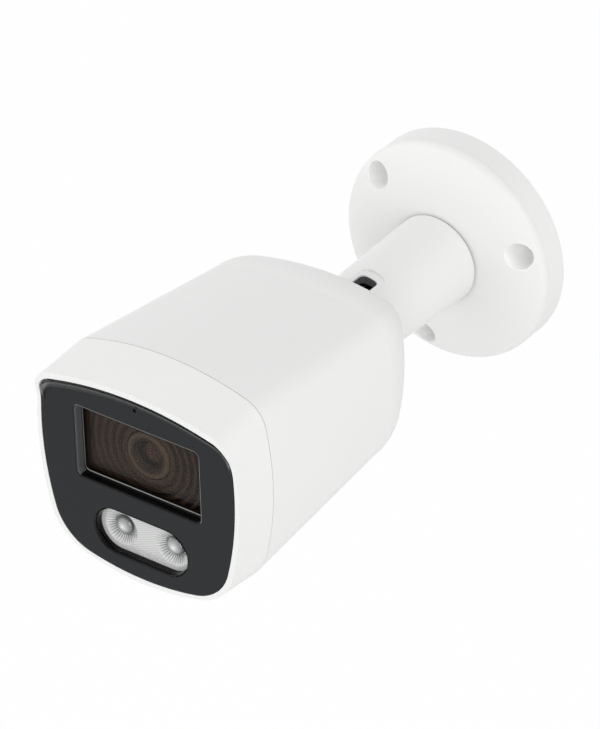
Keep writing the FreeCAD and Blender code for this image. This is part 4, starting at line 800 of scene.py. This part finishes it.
wound_wire = coil_group()
woven_black = {"Color": (0.01, 0.01, 0.01), "Turns": 3000.0, "Gloss": 0.6}
paint(finish("woven membrane", wound_wire, woven_black, 0.5, 0.03 * mm), "microphone_membrane")
can_metal = metal("nickel can", (0.55, 0.54, 0.5), 0.3, [1500.0, 3000.0, 1500.0])
paint(can_metal, "microphone")

# Light trap behind the pane: a matt black-brown plate with rings cut round the lens.

trap_colour = (0.036, 0.027, 0.022)
trap_black = moulded("matt light trap", trap_colour, 0.6, relief=0.0, tone=0.1, Specular_IOR_Level=0.2)
paint(trap_black, "light_trap")

# Lens: a satin anodised barrel, coated front and rear glass, and the dark grey lock ring that
# holds it in its threaded holder.


def disc(middle, rim, radius, **more):
    """A graded disc round the lens axis."""
    return {"Middle": middle, "Rim": rim, "Level": window_level, "Radius": radius, **more}


barrel = disc((0.012, 0.011, 0.011), (0.07, 0.06, 0.048), 5.6 * mm, Sharpness=14.0, Gloss=0.5)
anodised = finish("satin anodised barrel", graded_disc, barrel, 0.02, Specular_IOR_Level=0.3)
front_coat = disc((0.034, 0.019, 0.019), (0.012, 0.011, 0.012), 4.0 * mm)
front_element = finish("coated front element", graded_disc, front_coat, 0.0, IOR=1.4)
rear_coat = disc((0.4, 0.6, 0.5), (0.012, 0.011, 0.012), 4.0 * mm)
rear_element = finish("coated rear element", graded_disc, rear_coat, 0.0, Transmission_Weight=0.9, IOR=1.6)
paint(anodised, "lens_barrel")
paint(front_element, "lens_front_glass")
lets_light_in("lens_front_glass")
paint(rear_element, "lens_rear_glass")
paint(grey_nylon, "lens_lock_ring")

# Lens holder, the shuttle with its two filters, the coil that throws it, and the sensor with its
# cover glass on a green board.

dark_resin = moulded("matt black resin", (0.014, 0.014, 0.015), 0.55, relief=0.15, grain=2500.0, tone=0.1)
blocking = disc((0.75, 0.16, 0.2), (0.6, 0.12, 0.22), 5.0 * mm)
red_glass = finish("infrared blocking glass", graded_disc, blocking, 0.0, Transmission_Weight=0.8, IOR=1.5)
plain_glass = disc((0.9, 0.93, 0.92), (0.86, 0.9, 0.9), 8.0 * mm)
clear_pane = finish("plain filter glass", graded_disc, plain_glass, 0.0, Transmission_Weight=0.95, IOR=1.5)
copper_wire = {"Color": (0.55, 0.24, 0.1), "Turns": 1400.0, "Gloss": 0.25}
copper = finish("wound copper", wound_wire, copper_wire, 0.8, 0.08 * mm)
sensor_colours = ((0.03, 0.035, 0.045), (0.05, 0.06, 0.09), (0.12, 0.1, 0.14))
sensor_array = board("sensor array", sensor_colours, 2400.0, 0.05, 0.01 * mm)
paint(dark_resin, "lens_holder", "filter_carriage")
paint(red_glass, "blocking_filter")
paint(clear_pane, "clear_filter", "sensor_glass")
paint(copper, "filter_coil")
paint(sensor_array, "image_sensor")
paint(green_board, "sensor_board", "main_board")
paint(black_steel, "holder_screws")

# Main board and chassis: black chips, cream connectors, a plated card socket, the reset switch
# with its button, four screws, and the cast aluminium frame that carries them.

chip_resin = moulded("chip resin", (0.016, 0.016, 0.017), 0.48, relief=0.25, grain=6000.0, tone=0.15)
paint(chip_resin, "chips")
cream = moulded("cream connector", (0.62, 0.57, 0.44), 0.4, relief=0.1, tone=0.06)
cast_light = metal("cast aluminium", (0.58, 0.58, 0.59), 0.42, [1200.0] * 3, contrast=0.25, relief=0.3)
paint(cream, "connectors")
paint(can_metal, "card_socket", "reset_switch")
paint(dark_resin, "reset_button")
paint(zinc, "board_screws")
paint(cast_light, "chassis")
